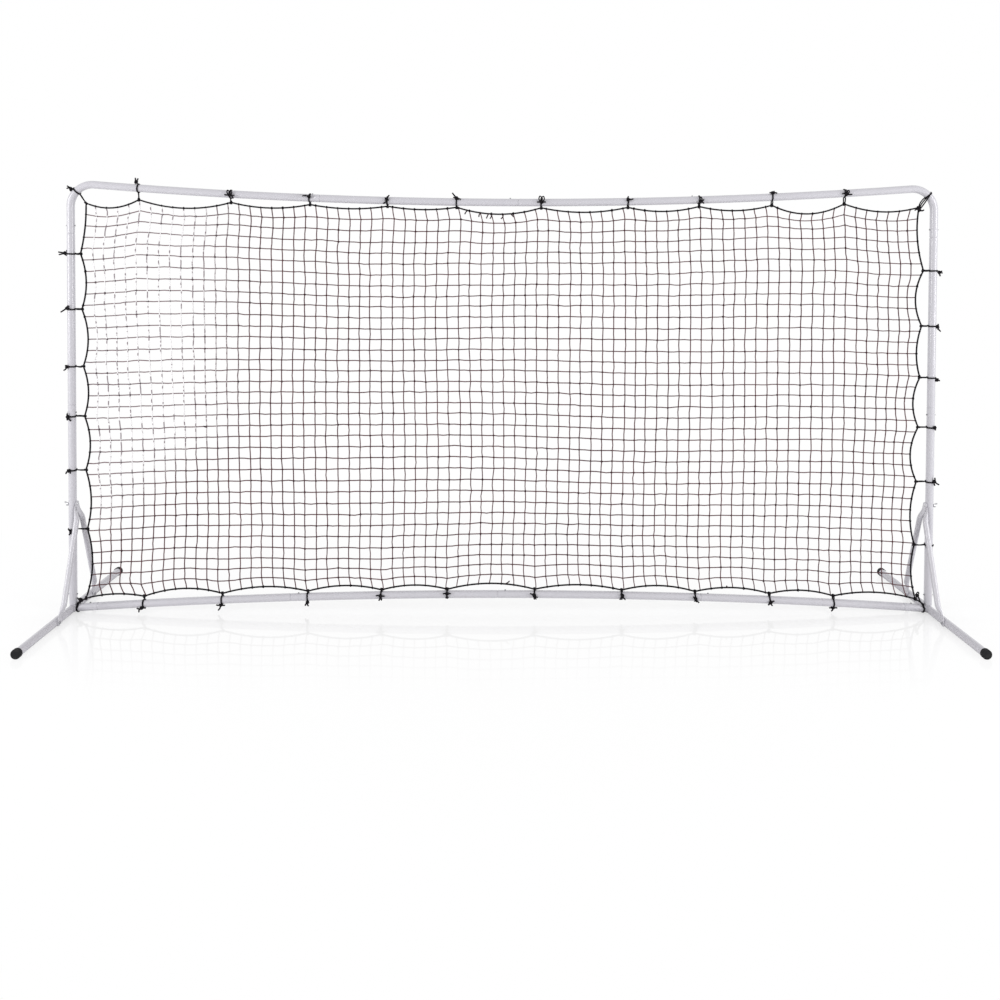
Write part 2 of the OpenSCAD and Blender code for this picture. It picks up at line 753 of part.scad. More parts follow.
module net() {
    color(cord_color) translate([0, net_t / 2, 0]) rotate([90, 0, 0]) linear_extrude(net_t) difference() {
        polygon(concat(
            scalloped(top_line, top_sags), scalloped(left_line, left_sags),
            scalloped(bottom_line, bottom_sags), scalloped(right_line, right_sags)
        ));
        for (i = [0 : net_cols - 1]) for (j = [0 : net_rows - 1]) polygon(opening(i, j));
    }
}

// Round cord from p to q in the frame's plane, bowed to the left of its run by sag
module bowed_cord(p, q, sag, d) {
    chord = norm(q - p);
    r = (chord * chord / 4 + sag * sag) / (2 * sag);
    half = asin(chord / (2 * r));
    translate([p[0], 0, p[1]]) rotate([0, -atan2(q[1] - p[1], q[0] - p[0]), 0])
        translate([chord / 2, 0, sag - r]) rotate([90, 0, 0])
            rotate_extrude(angle = 2 * half, start = 90 - half, $fn = 360) translate([r, 0])
                circle(d = d, $fn = small_fn);
}

module border_side(line, sags) {
    for (k = [0 : len(sags) - 1]) {
        bowed_cord(line[k], line[k + 1], sags[k], border_d);
        translate([line[k][0], 0, line[k][1]]) sphere(d = border_knot_d, $fn = small_fn);
    }
}

module border_cord() {
    color(cord_color) {
        border_side(top_line, top_sags);
        border_side(left_line, left_sags);
        border_side(bottom_line, bottom_sags);
        border_side(right_line, right_sags);
    }
}

// Two turns of lacing cord round a tube that runs along X, with a knot and two tails at the angle given
module tie_knot(angle) {
    knot_z = wrap_r + lace_r;
    rotate([angle, 0, 0]) {
        for (x = [-lace_step, lace_step]) translate([x, 0, 0]) rotate([0, 90, 0])
            rotate_extrude($fn = round_fn) translate([wrap_r, 0]) circle(lace_r, $fn = small_fn);
        translate([0, 0, knot_z])
            cylinder(h = lace_knot_h, d = lace_knot_d, center = true, $fn = small_fn);
        for (side = [-1, 1]) translate([side * strand_r * 1.2, 0, knot_z + lace_r])
            rotate([0, side * tail_splay, 0])
                cylinder(h = tail_len, r1 = strand_r, r2 = strand_r * 0.8, $fn = small_fn);
    }
}

// The two strands that run from the turns round a tube to a border point, side by side
module tie_strands(from, to) {
    run = to - from;
    translate([from[0], 0, from[1]]) rotate([0, atan2(run[0], run[1]), 0])
        for (x = [-lace_step, lace_step]) translate([x, 0, 0])
            cylinder(h = norm(run), r = strand_r, $fn = small_fn);
}

module ties_top() {
    color(cord_color) {
        for (x = top_ties) {
            on_top_rail(x) tie_knot(70);
            tie_strands([x, top_z(x) - wrap_r], top_point(x));
        }
        for (side = [-1, 1]) mirror([side < 0 ? 1 : 0, 0, 0]) {
            translate([bend_x, 0, bend_z]) rotate([0, -45, 0]) translate([bend_r, 0, 0])
                rotate([0, 90, 0]) tie_knot(0);
            tie_strands([bend_x, bend_z] + (bend_r - wrap_r) * [cos(45), sin(45)], net_top_corner);
        }
    }
}

module ties_bottom() {
    turn_x = half_w - tube_r - 4 * lace_r;
    turn_z = foot_z + (half_w - turn_x) * tan(stub_slope);
    color(cord_color) {
        for (x = bottom_ties) {
            on_bottom_rail(x) tie_knot(110);
            tie_strands([x, bottom_z(x) + wrap_r], bottom_point(x));
        }
        for (side = [-1, 1]) mirror([side < 0 ? 1 : 0, 0, 0]) {
            translate([turn_x, 0, turn_z]) rotate([0, stub_slope, 0]) tie_knot(60);
            tie_strands([turn_x, turn_z + wrap_r], net_bottom_corner);
        }
    }
}

module ties_side(side, places) {
    color(cord_color) for (z = places) {
        on_upright(side, z) tie_knot(20);
        tie_strands([side * (half_w - wrap_r), z], [side * side_x(z), z]);
    }
}

corner_tube_left();
corner_tube_right();
top_tube(top_joint_left, top_joint_mid);  // top_tube_left
top_tube(top_joint_mid, top_joint_right);  // top_tube_right
upright_mid(-1);  // upright_mid_left
upright_mid(1);  // upright_mid_right
upright_lower(-1);  // upright_lower_left
upright_lower(1);  // upright_lower_right
bottom_tube(0);  // bottom_tube_1
bottom_tube(1);  // bottom_tube_2
bottom_tube(2);  // bottom_tube_3
bottom_tube(3);  // bottom_tube_4
foot_frame(-1);  // foot_frame_left
foot_frame(1);  // foot_frame_right
end_cap(-1, 1);  // end_cap_front_left
end_cap(-1, -1);  // end_cap_rear_left
end_cap(1, 1);  // end_cap_front_right
end_cap(1, -1);  // end_cap_rear_right
brace(-1, 1);  // brace_front_left
brace(-1, -1);  // brace_rear_left
brace(1, 1);  // brace_front_right
brace(1, -1);  // brace_rear_right
brace_bolts();
hex_nuts();
washers();
wing_nut(-1);  // wing_nut_left
wing_nut(1);  // wing_nut_right
springs_top_rail();
springs_bottom_rail();
springs_upright(-1);  // springs_upright_left
springs_upright(1);  // springs_upright_right
on_top_rail(top_joint_left - button_from_joint) button();  // button_top_1
on_top_rail(top_joint_mid - button_from_joint) button();  // button_top_2
on_top_rail(top_joint_right - button_from_joint) button();  // button_top_3
on_bottom_rail(bottom_button_x(0)) button();  // button_bottom_1
on_bottom_rail(bottom_button_x(1)) button();  // button_bottom_2
on_bottom_rail(bottom_button_x(2)) button();  // button_bottom_3
on_bottom_rail(bottom_button_x(3)) button();  // button_bottom_4
on_bottom_rail(bottom_button_x(4)) button();  // button_bottom_5
on_upright(-1, leg_button_z) button();  // button_left_leg_outer
on_upright(-1, leg_button_z, false) button();  // button_left_leg_inner
on_upright(-1, mid_button_z) button();  // button_left_mid_outer
on_upright(-1, mid_button_z, false) button();  // button_left_mid_inner
on_upright(-1, base_button_z) button();  // button_left_base_outer
on_upright(-1, base_button_z, false) button();  // button_left_base_inner
on_upright(1, leg_button_z) button();  // button_right_leg_outer
on_upright(1, leg_button_z, false) button();  // button_right_leg_inner
on_upright(1, mid_button_z) button();  // button_right_mid_outer
on_upright(1, mid_button_z, false) button();  // button_right_mid_inner
on_upright(1, base_button_z) button();  // button_right_base_outer
on_upright(1, base_button_z, false) button();  // button_right_base_inner
net();
border_cord();
ties_top();
ties_bottom();
ties_side(-1, left_ties);  // ties_left
ties_side(1, right_ties);  // ties_right
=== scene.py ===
import json
import math

import bpy
import numpy as np
from mathutils import Matrix


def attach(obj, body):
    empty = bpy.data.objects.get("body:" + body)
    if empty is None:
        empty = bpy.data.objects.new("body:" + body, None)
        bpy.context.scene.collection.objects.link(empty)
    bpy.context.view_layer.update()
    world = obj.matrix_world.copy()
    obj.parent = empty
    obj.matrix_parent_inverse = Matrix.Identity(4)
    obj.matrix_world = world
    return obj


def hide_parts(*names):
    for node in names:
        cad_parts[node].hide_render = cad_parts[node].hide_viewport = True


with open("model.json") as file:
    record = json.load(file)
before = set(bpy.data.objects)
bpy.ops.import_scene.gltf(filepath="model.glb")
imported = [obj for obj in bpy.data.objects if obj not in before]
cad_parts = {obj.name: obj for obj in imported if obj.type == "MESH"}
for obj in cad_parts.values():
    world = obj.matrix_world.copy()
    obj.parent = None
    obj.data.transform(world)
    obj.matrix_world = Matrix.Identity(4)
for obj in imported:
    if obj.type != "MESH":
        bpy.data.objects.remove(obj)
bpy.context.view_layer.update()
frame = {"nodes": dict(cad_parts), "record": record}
print("stage: frame loaded with", len(frame["nodes"]), "nodes")

# the frame's own lines, in metres, as the tubes follow them
frameLines = {
    "halfWidth": 1.814,
    "height": 1.818,
    "tubeRadius": 0.016,
    "bendRadius": 0.09,
    "cornerSlope": 3 / 79,
    "bottomRise": 0.053,
    "railStub": 0.104,
    "footAxis": 0.0185,
}
tubeRadius = frameLines["tubeRadius"]
halfWidth = frameLines["halfWidth"]
footAxis = frameLines["footAxis"]
bendX = halfWidth - frameLines["bendRadius"]
bendZ = frameLines["height"] - tubeRadius - frameLines["bendRadius"]
topSag = frameLines["cornerSlope"] * bendX
topRadius = bendX / math.sin(2 * math.atan(frameLines["cornerSlope"])) - frameLines["bendRadius"]
topCentre = frameLines["height"] - tubeRadius - topSag + topRadius
stubX = halfWidth - frameLines["railStub"]
stubSlope = 2 * math.atan(frameLines["bottomRise"] / stubX)
bottomRadius = stubX / math.sin(stubSlope)
bottomCentre = (
    footAxis + frameLines["railStub"] * math.tan(stubSlope) + frameLines["bottomRise"] - bottomRadius
)


def topRail(x):
    # the top rail's axis: z = c - sqrt(r^2 - x^2)
    return topCentre - np.sqrt(topRadius**2 - np.square(x))


def bottomRail(x):
    # the bottom rail's axis: z = c + sqrt(r^2 - x^2)
    return bottomCentre + np.sqrt(bottomRadius**2 - np.square(x))


# border of the net: places of the ties and the depth of each scallop between them; a gap between a rail
# and the border is near + grow |x|^power, and a side's gap goes from low to high
border = {
    "topTies": [-1.530, -1.145, -0.815, -0.490, -0.200, 0.155, 0.520, 0.820, 1.127, 1.433],
    "topSags": [0.027, 0.030, 0.019, 0.014, 0.012, 0.028, 0.020, 0.019, 0.020, 0.039, 0.026],
    "bottomTies": [-1.515, -1.185, -0.824, -0.513, -0.234, 0.136, 0.506, 0.818, 1.135, 1.408],
    "bottomSags": [0.014, 0.027, 0.024, 0.021, 0.019, 0.025, 0.021, 0.022, 0.021, 0.019, 0.022],
    "leftTies": [0.354, 0.604, 0.831, 1.041, 1.281, 1.513],
    "leftSags": [0.024, 0.019, 0.021, 0.019, 0.023, 0.021, 0.007],
    "rightTies": [0.292, 0.562, 0.794, 1.005, 1.224, 1.458],
    "rightSags": [0.017, 0.022, 0.030, 0.026, 0.018, 0.030, 0.016],
    "topGap": (0.006, 0.040, 2.5),
    "bottomGap": (0.005, 0.014, 2),
    "sideGap": (0.052, 0.018),
    "topCorner": (bendX + 0.026, bendZ + 0.013),
    "bottomCorner": (halfWidth - 0.054, footAxis + 0.040),
    "fade": 0.11,
}


def topPoint(x):
    near, grow, power = border["topGap"]
    return topRail(x) - tubeRadius - near - grow * np.abs(np.asarray(x) / halfWidth) ** power


def bottomPoint(x):
    near, grow, power = border["bottomGap"]
    return bottomRail(x) + tubeRadius + near + grow * np.abs(np.asarray(x) / halfWidth) ** power


def sidePoint(z):
    low, high = border["sideGap"]
    return halfWidth - tubeRadius - (low + (high - low) * np.asarray(z) / frameLines["height"])


def borderLines():
    # each side as (coordinate along it, coordinate across it, scallops), rising along the first
    topX, topZ = border["topCorner"]
    lowX, lowZ = border["bottomCorner"]
    ties = {side: np.array(border[side + "Ties"]) for side in ("top", "bottom", "left", "right")}
    lines = {
        "top": (np.r_[-topX, ties["top"], topX], np.r_[topZ, topPoint(ties["top"]), topZ]),
        "bottom": (np.r_[-lowX, ties["bottom"], lowX], np.r_[lowZ, bottomPoint(ties["bottom"]), lowZ]),
        "left": (np.r_[lowZ, ties["left"], topZ], np.r_[-lowX, -sidePoint(ties["left"]), -topX]),
        "right": (np.r_[lowZ, ties["right"], topZ], np.r_[lowX, sidePoint(ties["right"]), topX]),
    }
    return {side: (*line, np.array(border[side + "Sags"])) for side, line in lines.items()}


sides = borderLines()


def scallop(t, side):
    # 4 s u (1 - u) inside each span, where u runs from 0 to 1 between two ties
    places, _, sags = sides[side]
    span = np.clip(np.searchsorted(places, t, side="right") - 1, 0, len(sags) - 1)
    u = np.clip((t - places[span]) / (places[span + 1] - places[span]), 0, 1)
    return 4 * sags[span] * u * (1 - u)


def netPoint(u, v):
    # an even grid, drawn to the scalloped border with a pull that fades as exp(-distance / fade)
    u, v = np.broadcast_arrays(np.asarray(u, float), np.asarray(v, float))
    topX, topZ = border["topCorner"]
    lowX, lowZ = border["bottomCorner"]
    fade = border["fade"]
    z0 = lowZ + (topZ - lowZ) * v
    x = (
        (1 - u) * np.interp(z0, sides["left"][0], sides["left"][1])
        + u * np.interp(z0, sides["right"][0], sides["right"][1])
        + scallop(z0, "left") * np.exp(-u * 2 * lowX / fade)
        - scallop(z0, "right") * np.exp(-(1 - u) * 2 * lowX / fade)
    )
    z = (
        (1 - v) * np.interp(x, sides["bottom"][0], sides["bottom"][1])
        + v * np.interp(x, sides["top"][0], sides["top"][1])
        + scallop(x, "bottom") * np.exp(-v * (topZ - lowZ) / fade)
        - scallop(x, "top") * np.exp(-(1 - v) * (topZ - lowZ) / fade)
    )
    return x, z


# the map of a tube runs by this much for each metre
mapPerMetre = 100
pureWhite = (1, 1, 1)


def meshObject(name, points, faces, uvs=None, smooth=True):
    # a mesh object from whole arrays: points (n, 3), faces (m, 4) or (m, 3), uvs one per point
    mesh = bpy.data.meshes.new(name)
    mesh.from_pydata(points.tolist(), [], faces if isinstance(faces, list) else faces.tolist())
    if uvs is not None:
        layer = mesh.uv_layers.new(name="along")
        corner = np.empty(len(mesh.loops), dtype=np.int32)
        mesh.loops.foreach_get("vertex_index", corner)
        layer.data.foreach_set("uv", np.asarray(uvs, np.float32)[corner].ravel())
    mesh.polygons.foreach_set("use_smooth", np.full(len(mesh.polygons), smooth))
    mesh.update()
    made = bpy.data.objects.new(name, mesh)
    bpy.context.scene.collection.objects.link(made)
    return made


def unitRows(v):
    return v / np.maximum(np.linalg.norm(v, axis=-1, keepdims=True), 1e-12)


def tubeGrid(routes, radius, sidesRound, reference):
    # tubes along routes (k, n, 3): p + r (cos a * m + sin a * b), where b is square to the run and to the
    # reference, and m is square to both
    run = unitRows(np.gradient(routes, axis=1))
    b = unitRows(np.cross(run, np.broadcast_to(reference, routes.shape)))
    m = np.cross(b, run)
    angle = np.linspace(0, 2 * np.pi, sidesRound, endpoint=False)
    r = np.broadcast_to(np.asarray(radius, float), routes.shape[:2])[:, :, None, None]
    rings = routes[:, :, None, :] + r * (
        np.cos(angle)[:, None] * m[:, :, None, :] + np.sin(angle)[:, None] * b[:, :, None, :]
    )
    steps = np.linalg.norm(np.diff(routes, axis=1), axis=2)
    along = np.concatenate([np.zeros((len(routes), 1)), np.cumsum(steps, axis=1)], axis=1)
    return rings, along


def tubeFaces(count, length, sidesRound, closed=False):
    # quads between neighbouring rings, for count tubes of length rings each
    t, i, s = np.meshgrid(
        np.arange(count), np.arange(length if closed else length - 1), np.arange(sidesRound), indexing="ij"
    )
    here = (t * length + i) * sidesRound
    there = (t * length + (i + 1) % length) * sidesRound
    after = (s + 1) % sidesRound
    return np.stack([here + s, here + after, there + after, there + s], axis=-1).reshape(-1, 4)


def endCaps(length, sidesRound):
    # triangles from each end ring to its middle point; the two middles follow the rings' points
    s = np.arange(sidesRound)
    after = (s + 1) % sidesRound
    first = np.full_like(s, length * sidesRound)
    lastRing = (length - 1) * sidesRound
    return np.concatenate([
        np.stack([s, first, after], axis=-1),
        np.stack([after + lastRing, first + 1, s + lastRing], axis=-1),
    ])


def tubeMap(along, sidesRound):
    # map of a tube's points: once round it across, and the length along it
    angle = np.linspace(0, 1, sidesRound, endpoint=False)
    return np.stack(np.broadcast_arrays(angle, along[..., None] * mapPerMetre), axis=-1).reshape(-1, 2)


class Strands:
    # gathers many tubes of different lengths into one mesh, each a closed ring or closed by flat caps
    def __init__(self):
        self.points, self.faces, self.uvs, self.count = [], [], [], 0

    def add(self, route, radius, sidesRound, reference, closed=False):
        route = np.asarray(route, float)
        reference = np.broadcast_to(np.asarray(reference, float), route.shape)
        if closed:
            around, wide = (np.concatenate([v[-1:], v, v[:1]]) for v in (route, reference))
            rings, along = tubeGrid(around[None], radius, sidesRound, wide[None])
            rings, along = rings[:, 1:-1], along[:, 1:-1]
        else:
            rings, along = tubeGrid(route[None], radius, sidesRound, reference)
        points, uv = rings.reshape(-1, 3), tubeMap(along, sidesRound)
        self.faces += (tubeFaces(1, len(route), sidesRound, closed) + self.count).tolist()
        if not closed:
            points = np.concatenate([points, route[:1], route[-1:]])
            uv = np.concatenate([uv, [[0.5, along[0][0] * mapPerMetre], [0.5, along[0][-1] * mapPerMetre]]])
            self.faces += (endCaps(len(route), sidesRound) + self.count).tolist()
        self.points.append(points)
        self.uvs.append(uv)
        self.count += len(points)

    def build(self, name):
        return meshObject(name, np.concatenate(self.points), self.faces, np.concatenate(self.uvs))


def smoothRoute(points, steps):
    # Catmull-Rom curve through the points, steps samples to a span
    p = np.asarray(points, float)
    p = np.concatenate([2 * p[:1] - p[1:2], p, 2 * p[-1:] - p[-2:-1]])
    t = np.linspace(0, 1, steps, endpoint=False)[None, :, None]
    a, b, c, d = (p[i:len(p) - 3 + i, None, :] for i in range(4))
    curve = 0.5 * (2 * b + (c - a) * t + (2 * a - 5 * b + 4 * c - d) * t**2 + (3 * b - a - 3 * c + d) * t**3)
    return np.concatenate([curve.reshape(-1, 3), p[-2:-1]])


class Wire:
    # a socket whose arithmetic adds Math nodes to its material
    def __init__(self, paint, socket):
        self.paint, self.socket = paint, socket

    def maths(self, operation, *others, first=True):
        values = (self, *others) if first else (*others, self)
        return self.paint.node("ShaderNodeMath", {"operation": operation}, *values)

    def __add__(self, other):
        return self.maths("ADD", other)

    def __sub__(self, other):
        return self.maths("SUBTRACT", other)

    def __rsub__(self, other):
        return self.maths("SUBTRACT", other, first=False)

    def __mul__(self, other):
        return self.maths("MULTIPLY", other)

    __radd__ = __add__
    __rmul__ = __mul__


def opaque(colour):
    # red, green and blue with full alpha; a wire stays as it is
    return colour if isinstance(colour, Wire) else (*colour, 1)


class Paint:
    # one material or world; node() adds any node: its settings first, then its sockets' values or links
    def __init__(self, name, makers=bpy.data.materials):
        self.owner = makers.new(name)
        self.owner.use_nodes = True
        self.tree = self.owner.node_tree
        self.tree.nodes.clear()

    def feed(self, made, key, value):
        if isinstance(value, Wire):
            self.tree.links.new(value.socket, made.inputs[key])
        elif value is not None:
            made.inputs[key].default_value = value

    def node(self, kind, settings=None, *values, out=0, **sockets):
        made = self.tree.nodes.new(kind)
        for key, value in (settings or {}).items():
            setattr(made, key, value)
        for key, value in enumerate(values):
            self.feed(made, key, value)
        for key, value in sockets.items():
            self.feed(made, key.replace("_", " "), value)
        return Wire(self, made.outputs[out])

    def place(self):
        # the Object socket of the coordinates
        return self.node("ShaderNodeTexCoord", out=3)

    def split(self, vector, *axes):
        # the wanted components of a vector, each as a wire of its own
        parts = self.node("ShaderNodeSeparateXYZ", None, vector).socket.node.outputs
        return [Wire(self, parts[axis]) for axis in axes]

    def tubePlace(self):
        # how far round a tube, from 0 to 1, and how far along it
        return self.split(self.node("ShaderNodeUVMap", {"uv_map": "along"}), 0, 1)

    def stretched(self, vector, scale):
        return self.node("ShaderNodeMapping", None, vector, Scale=scale)

    def noise(self, vector, scale, detail, rough=0.5):
        return self.node(
            "ShaderNodeTexNoise", None, Vector=vector, Scale=scale, Detail=detail, Roughness=rough
        )

    def fade(self, value, low, high, start=0.0, end=1.0):
        # smooth step from low to high
        return self.node(
            "ShaderNodeMapRange", {"interpolation_type": "SMOOTHSTEP"}, value, low, high, start, end
        )

    def blend(self, factor, first, second):
        # a Mix node of colours has its factor at 0, its colours at 6 and 7 and its result at 2
        made = self.tree.nodes.new("ShaderNodeMix")
        made.data_type = "RGBA"
        for key, value in ((0, factor), (6, opaque(first)), (7, opaque(second))):
            self.feed(made, key, value)
        return Wire(self, made.outputs[2])

    def bump(self, height, strength, distance):
        return self.node("ShaderNodeBump", None, Height=height, Strength=strength, Distance=distance)

    def close(self, shader, kind="ShaderNodeOutputMaterial"):
        self.feed(self.tree.nodes.new(kind), "Surface", shader)
        return self.owner

    def finish(self, colour, roughness, normal, metallic=0.0, **fixed):
        return self.close(self.node(
            "ShaderNodeBsdfPrincipled", None, Base_Color=opaque(colour), Roughness=roughness,
            Metallic=metallic, Normal=normal, **fixed,
        ))


# in each look below a noise is scale, detail and roughness, and a rise is a bump's strength and distance
coatLook = {
    "pale": (0.510, 0.501, 0.538),
    "shade": (0.490, 0.481, 0.517),
    "scuff": (0.37, 0.36, 0.39),
    "scuffShare": 0.35,
    "roughness": 0.25,
    "slowRough": 0.05,
    "scuffRough": 0.2,
    "clear": 0.35,
    "clearRough": 0.09,
    "slow": (7.0, 2.0),
    "peel": (260.0, 1.0),
    "peelRise": (0.003, 0.0002),
    "specks": (140.0, 5.0, 0.65),
    "speckBand": (0.76, 0.84),
    "streaks": (9.0, 4.0),
    "streakStretch": (6, 40, 6),
    "streakBand": (0.52, 0.66),
}


def makeCoat():
    # powder coat: fine orange peel, slow change of shade, a few rubbed specks
    look = coatLook
    paint = Paint("powderCoat")
    place = paint.place()
    slow = paint.noise(place, *look["slow"])
    peel = paint.noise(place, *look["peel"])
    specks = paint.fade(paint.noise(place, *look["specks"]), *look["speckBand"])
    streaks = paint.noise(paint.stretched(place, look["streakStretch"]), *look["streaks"])
    rubbed = specks * paint.fade(streaks, *look["streakBand"])
    colour = paint.blend(slow, look["pale"], look["shade"])
    colour = paint.blend(rubbed * look["scuffShare"], colour, look["scuff"])
    rough = look["roughness"] + slow * look["slowRough"] + rubbed * look["scuffRough"]
    normal = paint.bump(peel, *look["peelRise"])
    return paint.finish(colour, rough, normal, Coat_Weight=look["clear"], Coat_Roughness=look["clearRough"])


rubberLook = {
    "black": (0.007, 0.007, 0.008),
    "dust": (0.034, 0.032, 0.031),
    "dustShare": 0.5,
    "roughness": 0.6,
    "dustRough": 0.2,
    "sheen": 0.2,
    "grain": (900.0, 4.0, 0.6),
    "grainRise": (0.25, 0.0005),
    "patches": (46.0, 5.0, 0.6),
    "patchBand": (0.48, 0.74),
}


def makeRubber():
    # moulded rubber: fine grain, dust that gathers in slow patches
    look = rubberLook
    paint = Paint("capRubber")
    place = paint.place()
    grain = paint.noise(place, *look["grain"])
    dust = paint.fade(paint.noise(place, *look["patches"]), *look["patchBand"])
    colour = paint.blend(dust * look["dustShare"], look["black"], look["dust"])
    rough = look["roughness"] + dust * look["dustRough"]
    normal = paint.bump(grain, *look["grainRise"])
    return paint.finish(colour, rough, normal, Specular_IOR_Level=look["sheen"])


metalLook = {
    "zincPlate": {"light": (0.62, 0.62, 0.64), "dark": (0.46, 0.46, 0.47), "roughness": 0.30},
    "buttonSteel": {"light": (0.34, 0.34, 0.35), "dark": (0.22, 0.22, 0.23), "roughness": 0.34},
    "springSteel": {"light": (0.33, 0.34, 0.36), "dark": (0.20, 0.21, 0.23), "roughness": 0.38},
    "cloud": (160.0, 4.0, 0.6),
    "cloudRough": 0.18,
    "grain": (1500.0, 2.0),
    "grainRise": (0.12, 0.0003),
}


def makeMetal(name):
    # plated steel: cloudy plating and fine grain
    look = metalLook[name]
    paint = Paint(name)
    place = paint.place()
    cloud = paint.noise(place, *metalLook["cloud"])
    grain = paint.noise(place, *metalLook["grain"])
    colour = paint.blend(cloud, look["light"], look["dark"])
    rough = look["roughness"] + cloud * metalLook["cloudRough"]
    return paint.finish(colour, rough, paint.bump(grain, *metalLook["grainRise"]), metallic=1.0)


cordLook = {
    "black": (0.004, 0.003, 0.005),
    "worn": (0.014, 0.012, 0.014),
    "ridgeBand": (0.2, 1.0),
    "ridgeShare": 0.5,
    "fuzzShare": 0.2,
    "roughness": 0.85,
    "sheen": 0.15,
    "spirals": 2,
    "pitch": 14.0,
    "fuzz": (1400.0, 3.0, 0.6),
    "ridgeHeight": 0.8,
    "fuzzHeight": 0.3,
    "braidRise": (0.7, 0.0006),
}


def makeCord():
    # braid: two crossed spirals along the tube's own map, their higher ridge showing
    look = cordLook
    paint = Paint("braidedCord")
    around, run = paint.tubePlace()
    turns = look["spirals"] * 2 * math.pi
    left = (around * turns + run * look["pitch"]).maths("SINE")
    right = (around * turns - run * look["pitch"]).maths("SINE")
    ridge = left.maths("MAXIMUM", right)
    fuzz = paint.noise(paint.place(), *look["fuzz"])
    worn = paint.fade(ridge, *look["ridgeBand"]) * look["ridgeShare"] + fuzz * look["fuzzShare"]
    colour = paint.blend(worn, look["black"], look["worn"])
    normal = paint.bump(ridge * look["ridgeHeight"] + fuzz * look["fuzzHeight"], *look["braidRise"])
    return paint.finish(colour, look["roughness"], normal, Specular_IOR_Level=look["sheen"])


# three kinds of strand, and where their paler end fades out along x: it moves by slant for each metre
# of height below the bend
twineLook = {
    "level": {
        "dark": (0.066, 0.024, 0.030),
        "brown": (0.140, 0.064, 0.068),
        "faded": (0.30, 0.24, 0.26),
        "dash": (0.30, 0.24, 0.26),
        "share": 0.38,
    },
    "upright": {
        "dark": (0.066, 0.024, 0.030),
        "brown": (0.140, 0.064, 0.068),
        "faded": (0.90, 0.89, 0.90),
        "dash": (0.28, 0.24, 0.26),
        "share": 0.88,
    },
    "knot": {
        "dark": (0.020, 0.009, 0.012),
        "brown": (0.045, 0.022, 0.026),
        "faded": (0.10, 0.08, 0.09),
        "dash": (0.10, 0.08, 0.09),
        "share": 0.3,
    },
    "fade": (-1.40, -1.02),
    "bend": 0.80,
    "slant": 1.2,
    "dashes": (52.0, 1.0),
    "dashBand": (0.50, 0.58),
    "drift": (5.0, 4.0, 0.6),
    "driftBand": (0.35, 0.7),
    "driftShare": 0.6,
    "fuzz": (1800.0, 2.0),
    "fuzzShare": 0.25,
    "plies": 2,
    "pitch": 20.0,
    "twistHeight": 0.7,
    "fuzzHeight": 0.3,
    "twistRise": (0.6, 0.0004),
    "roughness": 0.7,
    "sheen": 0.25,
}


def makeTwine(kind):
    # twisted twine: one spiral along each strand, slow drift from dark to brown, paler towards the left end
    look = twineLook | twineLook[kind]
    paint = Paint(kind + "Twine")
    around, run = paint.tubePlace()
    twist = (around * (look["plies"] * 2 * math.pi) + run * look["pitch"]).maths("SINE")
    place = paint.place()
    drift = paint.fade(paint.noise(place, *look["drift"]), *look["driftBand"])
    fuzz = paint.noise(place, *look["fuzz"])
    colour = paint.blend(drift * look["driftShare"] + fuzz * look["fuzzShare"], look["dark"], look["brown"])
    across, height = paint.split(place, 0, 2)
    # paler towards the left, less so low down: the upright strands turn near white, the level strands and
    # knots only a little
    slanted = across - (height.maths("MINIMUM", look["bend"]) - look["bend"]) * look["slant"]
    paleSide = paint.fade(slanted, *look["fade"], 1.0, 0.0)
    dashes = paint.fade(paint.noise(place, *look["dashes"]), *look["dashBand"])
    faded = paint.blend(dashes, look["faded"], look["dash"])
    colour = paint.blend(paleSide * look["share"], colour, faded)
    normal = paint.bump(twist * look["twistHeight"] + fuzz * look["fuzzHeight"], *look["twistRise"])
    return paint.finish(colour, look["roughness"], normal, Specular_IOR_Level=look["sheen"])


coat = makeCoat()
cord = makeCord()
levelTwine = makeTwine("level")
uprightTwine = makeTwine("upright")
knotTwine = makeTwine("knot")

finishOf = {
    "coated_steel": coat,
    "cap_rubber": makeRubber(),
    "zinc_steel": makeMetal("zincPlate"),
    "spring_steel": makeMetal("springSteel"),
    "button_steel": makeMetal("buttonSteel"),
}
for row in frame["record"]["subparts"]:
    part = frame["nodes"][row["node"]]
    if row["material_slot"] in finishOf:
        part.data.materials.clear()
        part.data.materials.append(finishOf[row["material_slot"]])
print("stage: materials made")


def dress(piece, material, slotName, *nodes):
    # gives a new piece its material and its body, and hides the CAD nodes it stands for
    piece.data.materials.append(material)
    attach(piece, "frame")
    if nodes:
        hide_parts(*nodes)
    return piece


netLook = {
    "columns": 76,
    "rows": 35,
    "sides": 6,
    "radius": 0.0024,
    "levelBack": 1.2,
    "knotBack": 0.6,
    "knotSize": (0.0042, 0.0034, 0.0042),
    "hitchSize": (0.0050, 0.0046, 0.0050),
    # strands get thinner to the right and low down: where that starts, over how far, and by what share
    "easeRight": (0.5, 0.6, 0.08),
    "easeLow": (0.6, 0.4, 0.05),
    "drift": 0.0065,
    "driftSeeds": (11, 12),
    "lineJitter": 0.0011,
    "knotJitter": 0.0010,
    "middleJitter": 0.0009,
    "bulge": 0.006,
    "bulgeSeed": 13,
    "stiffEdge": 16,
    "seed": 7,
    # how far each upright strand's end is pulled along the border, by its place
    "topEnds": [
        (-1.80, -0.007), (-0.4, -0.009), (1.08, -0.007), (1.16, 0.000), (1.21, 0.011), (1.80, 0.010),
    ],
    "bottomEnds": [
        (-1.80, 0.012), (-1.72, 0.021), (-1.53, 0.021), (-1.48, 0.007), (-0.50, 0.004), (-0.32, -0.004),
        (-0.22, -0.010), (-0.02, -0.010), (0.03, 0.001), (0.30, 0.006), (1.80, 0.008),
    ],
}
waveLook = {"waves": 7, "steepest": 5.5}
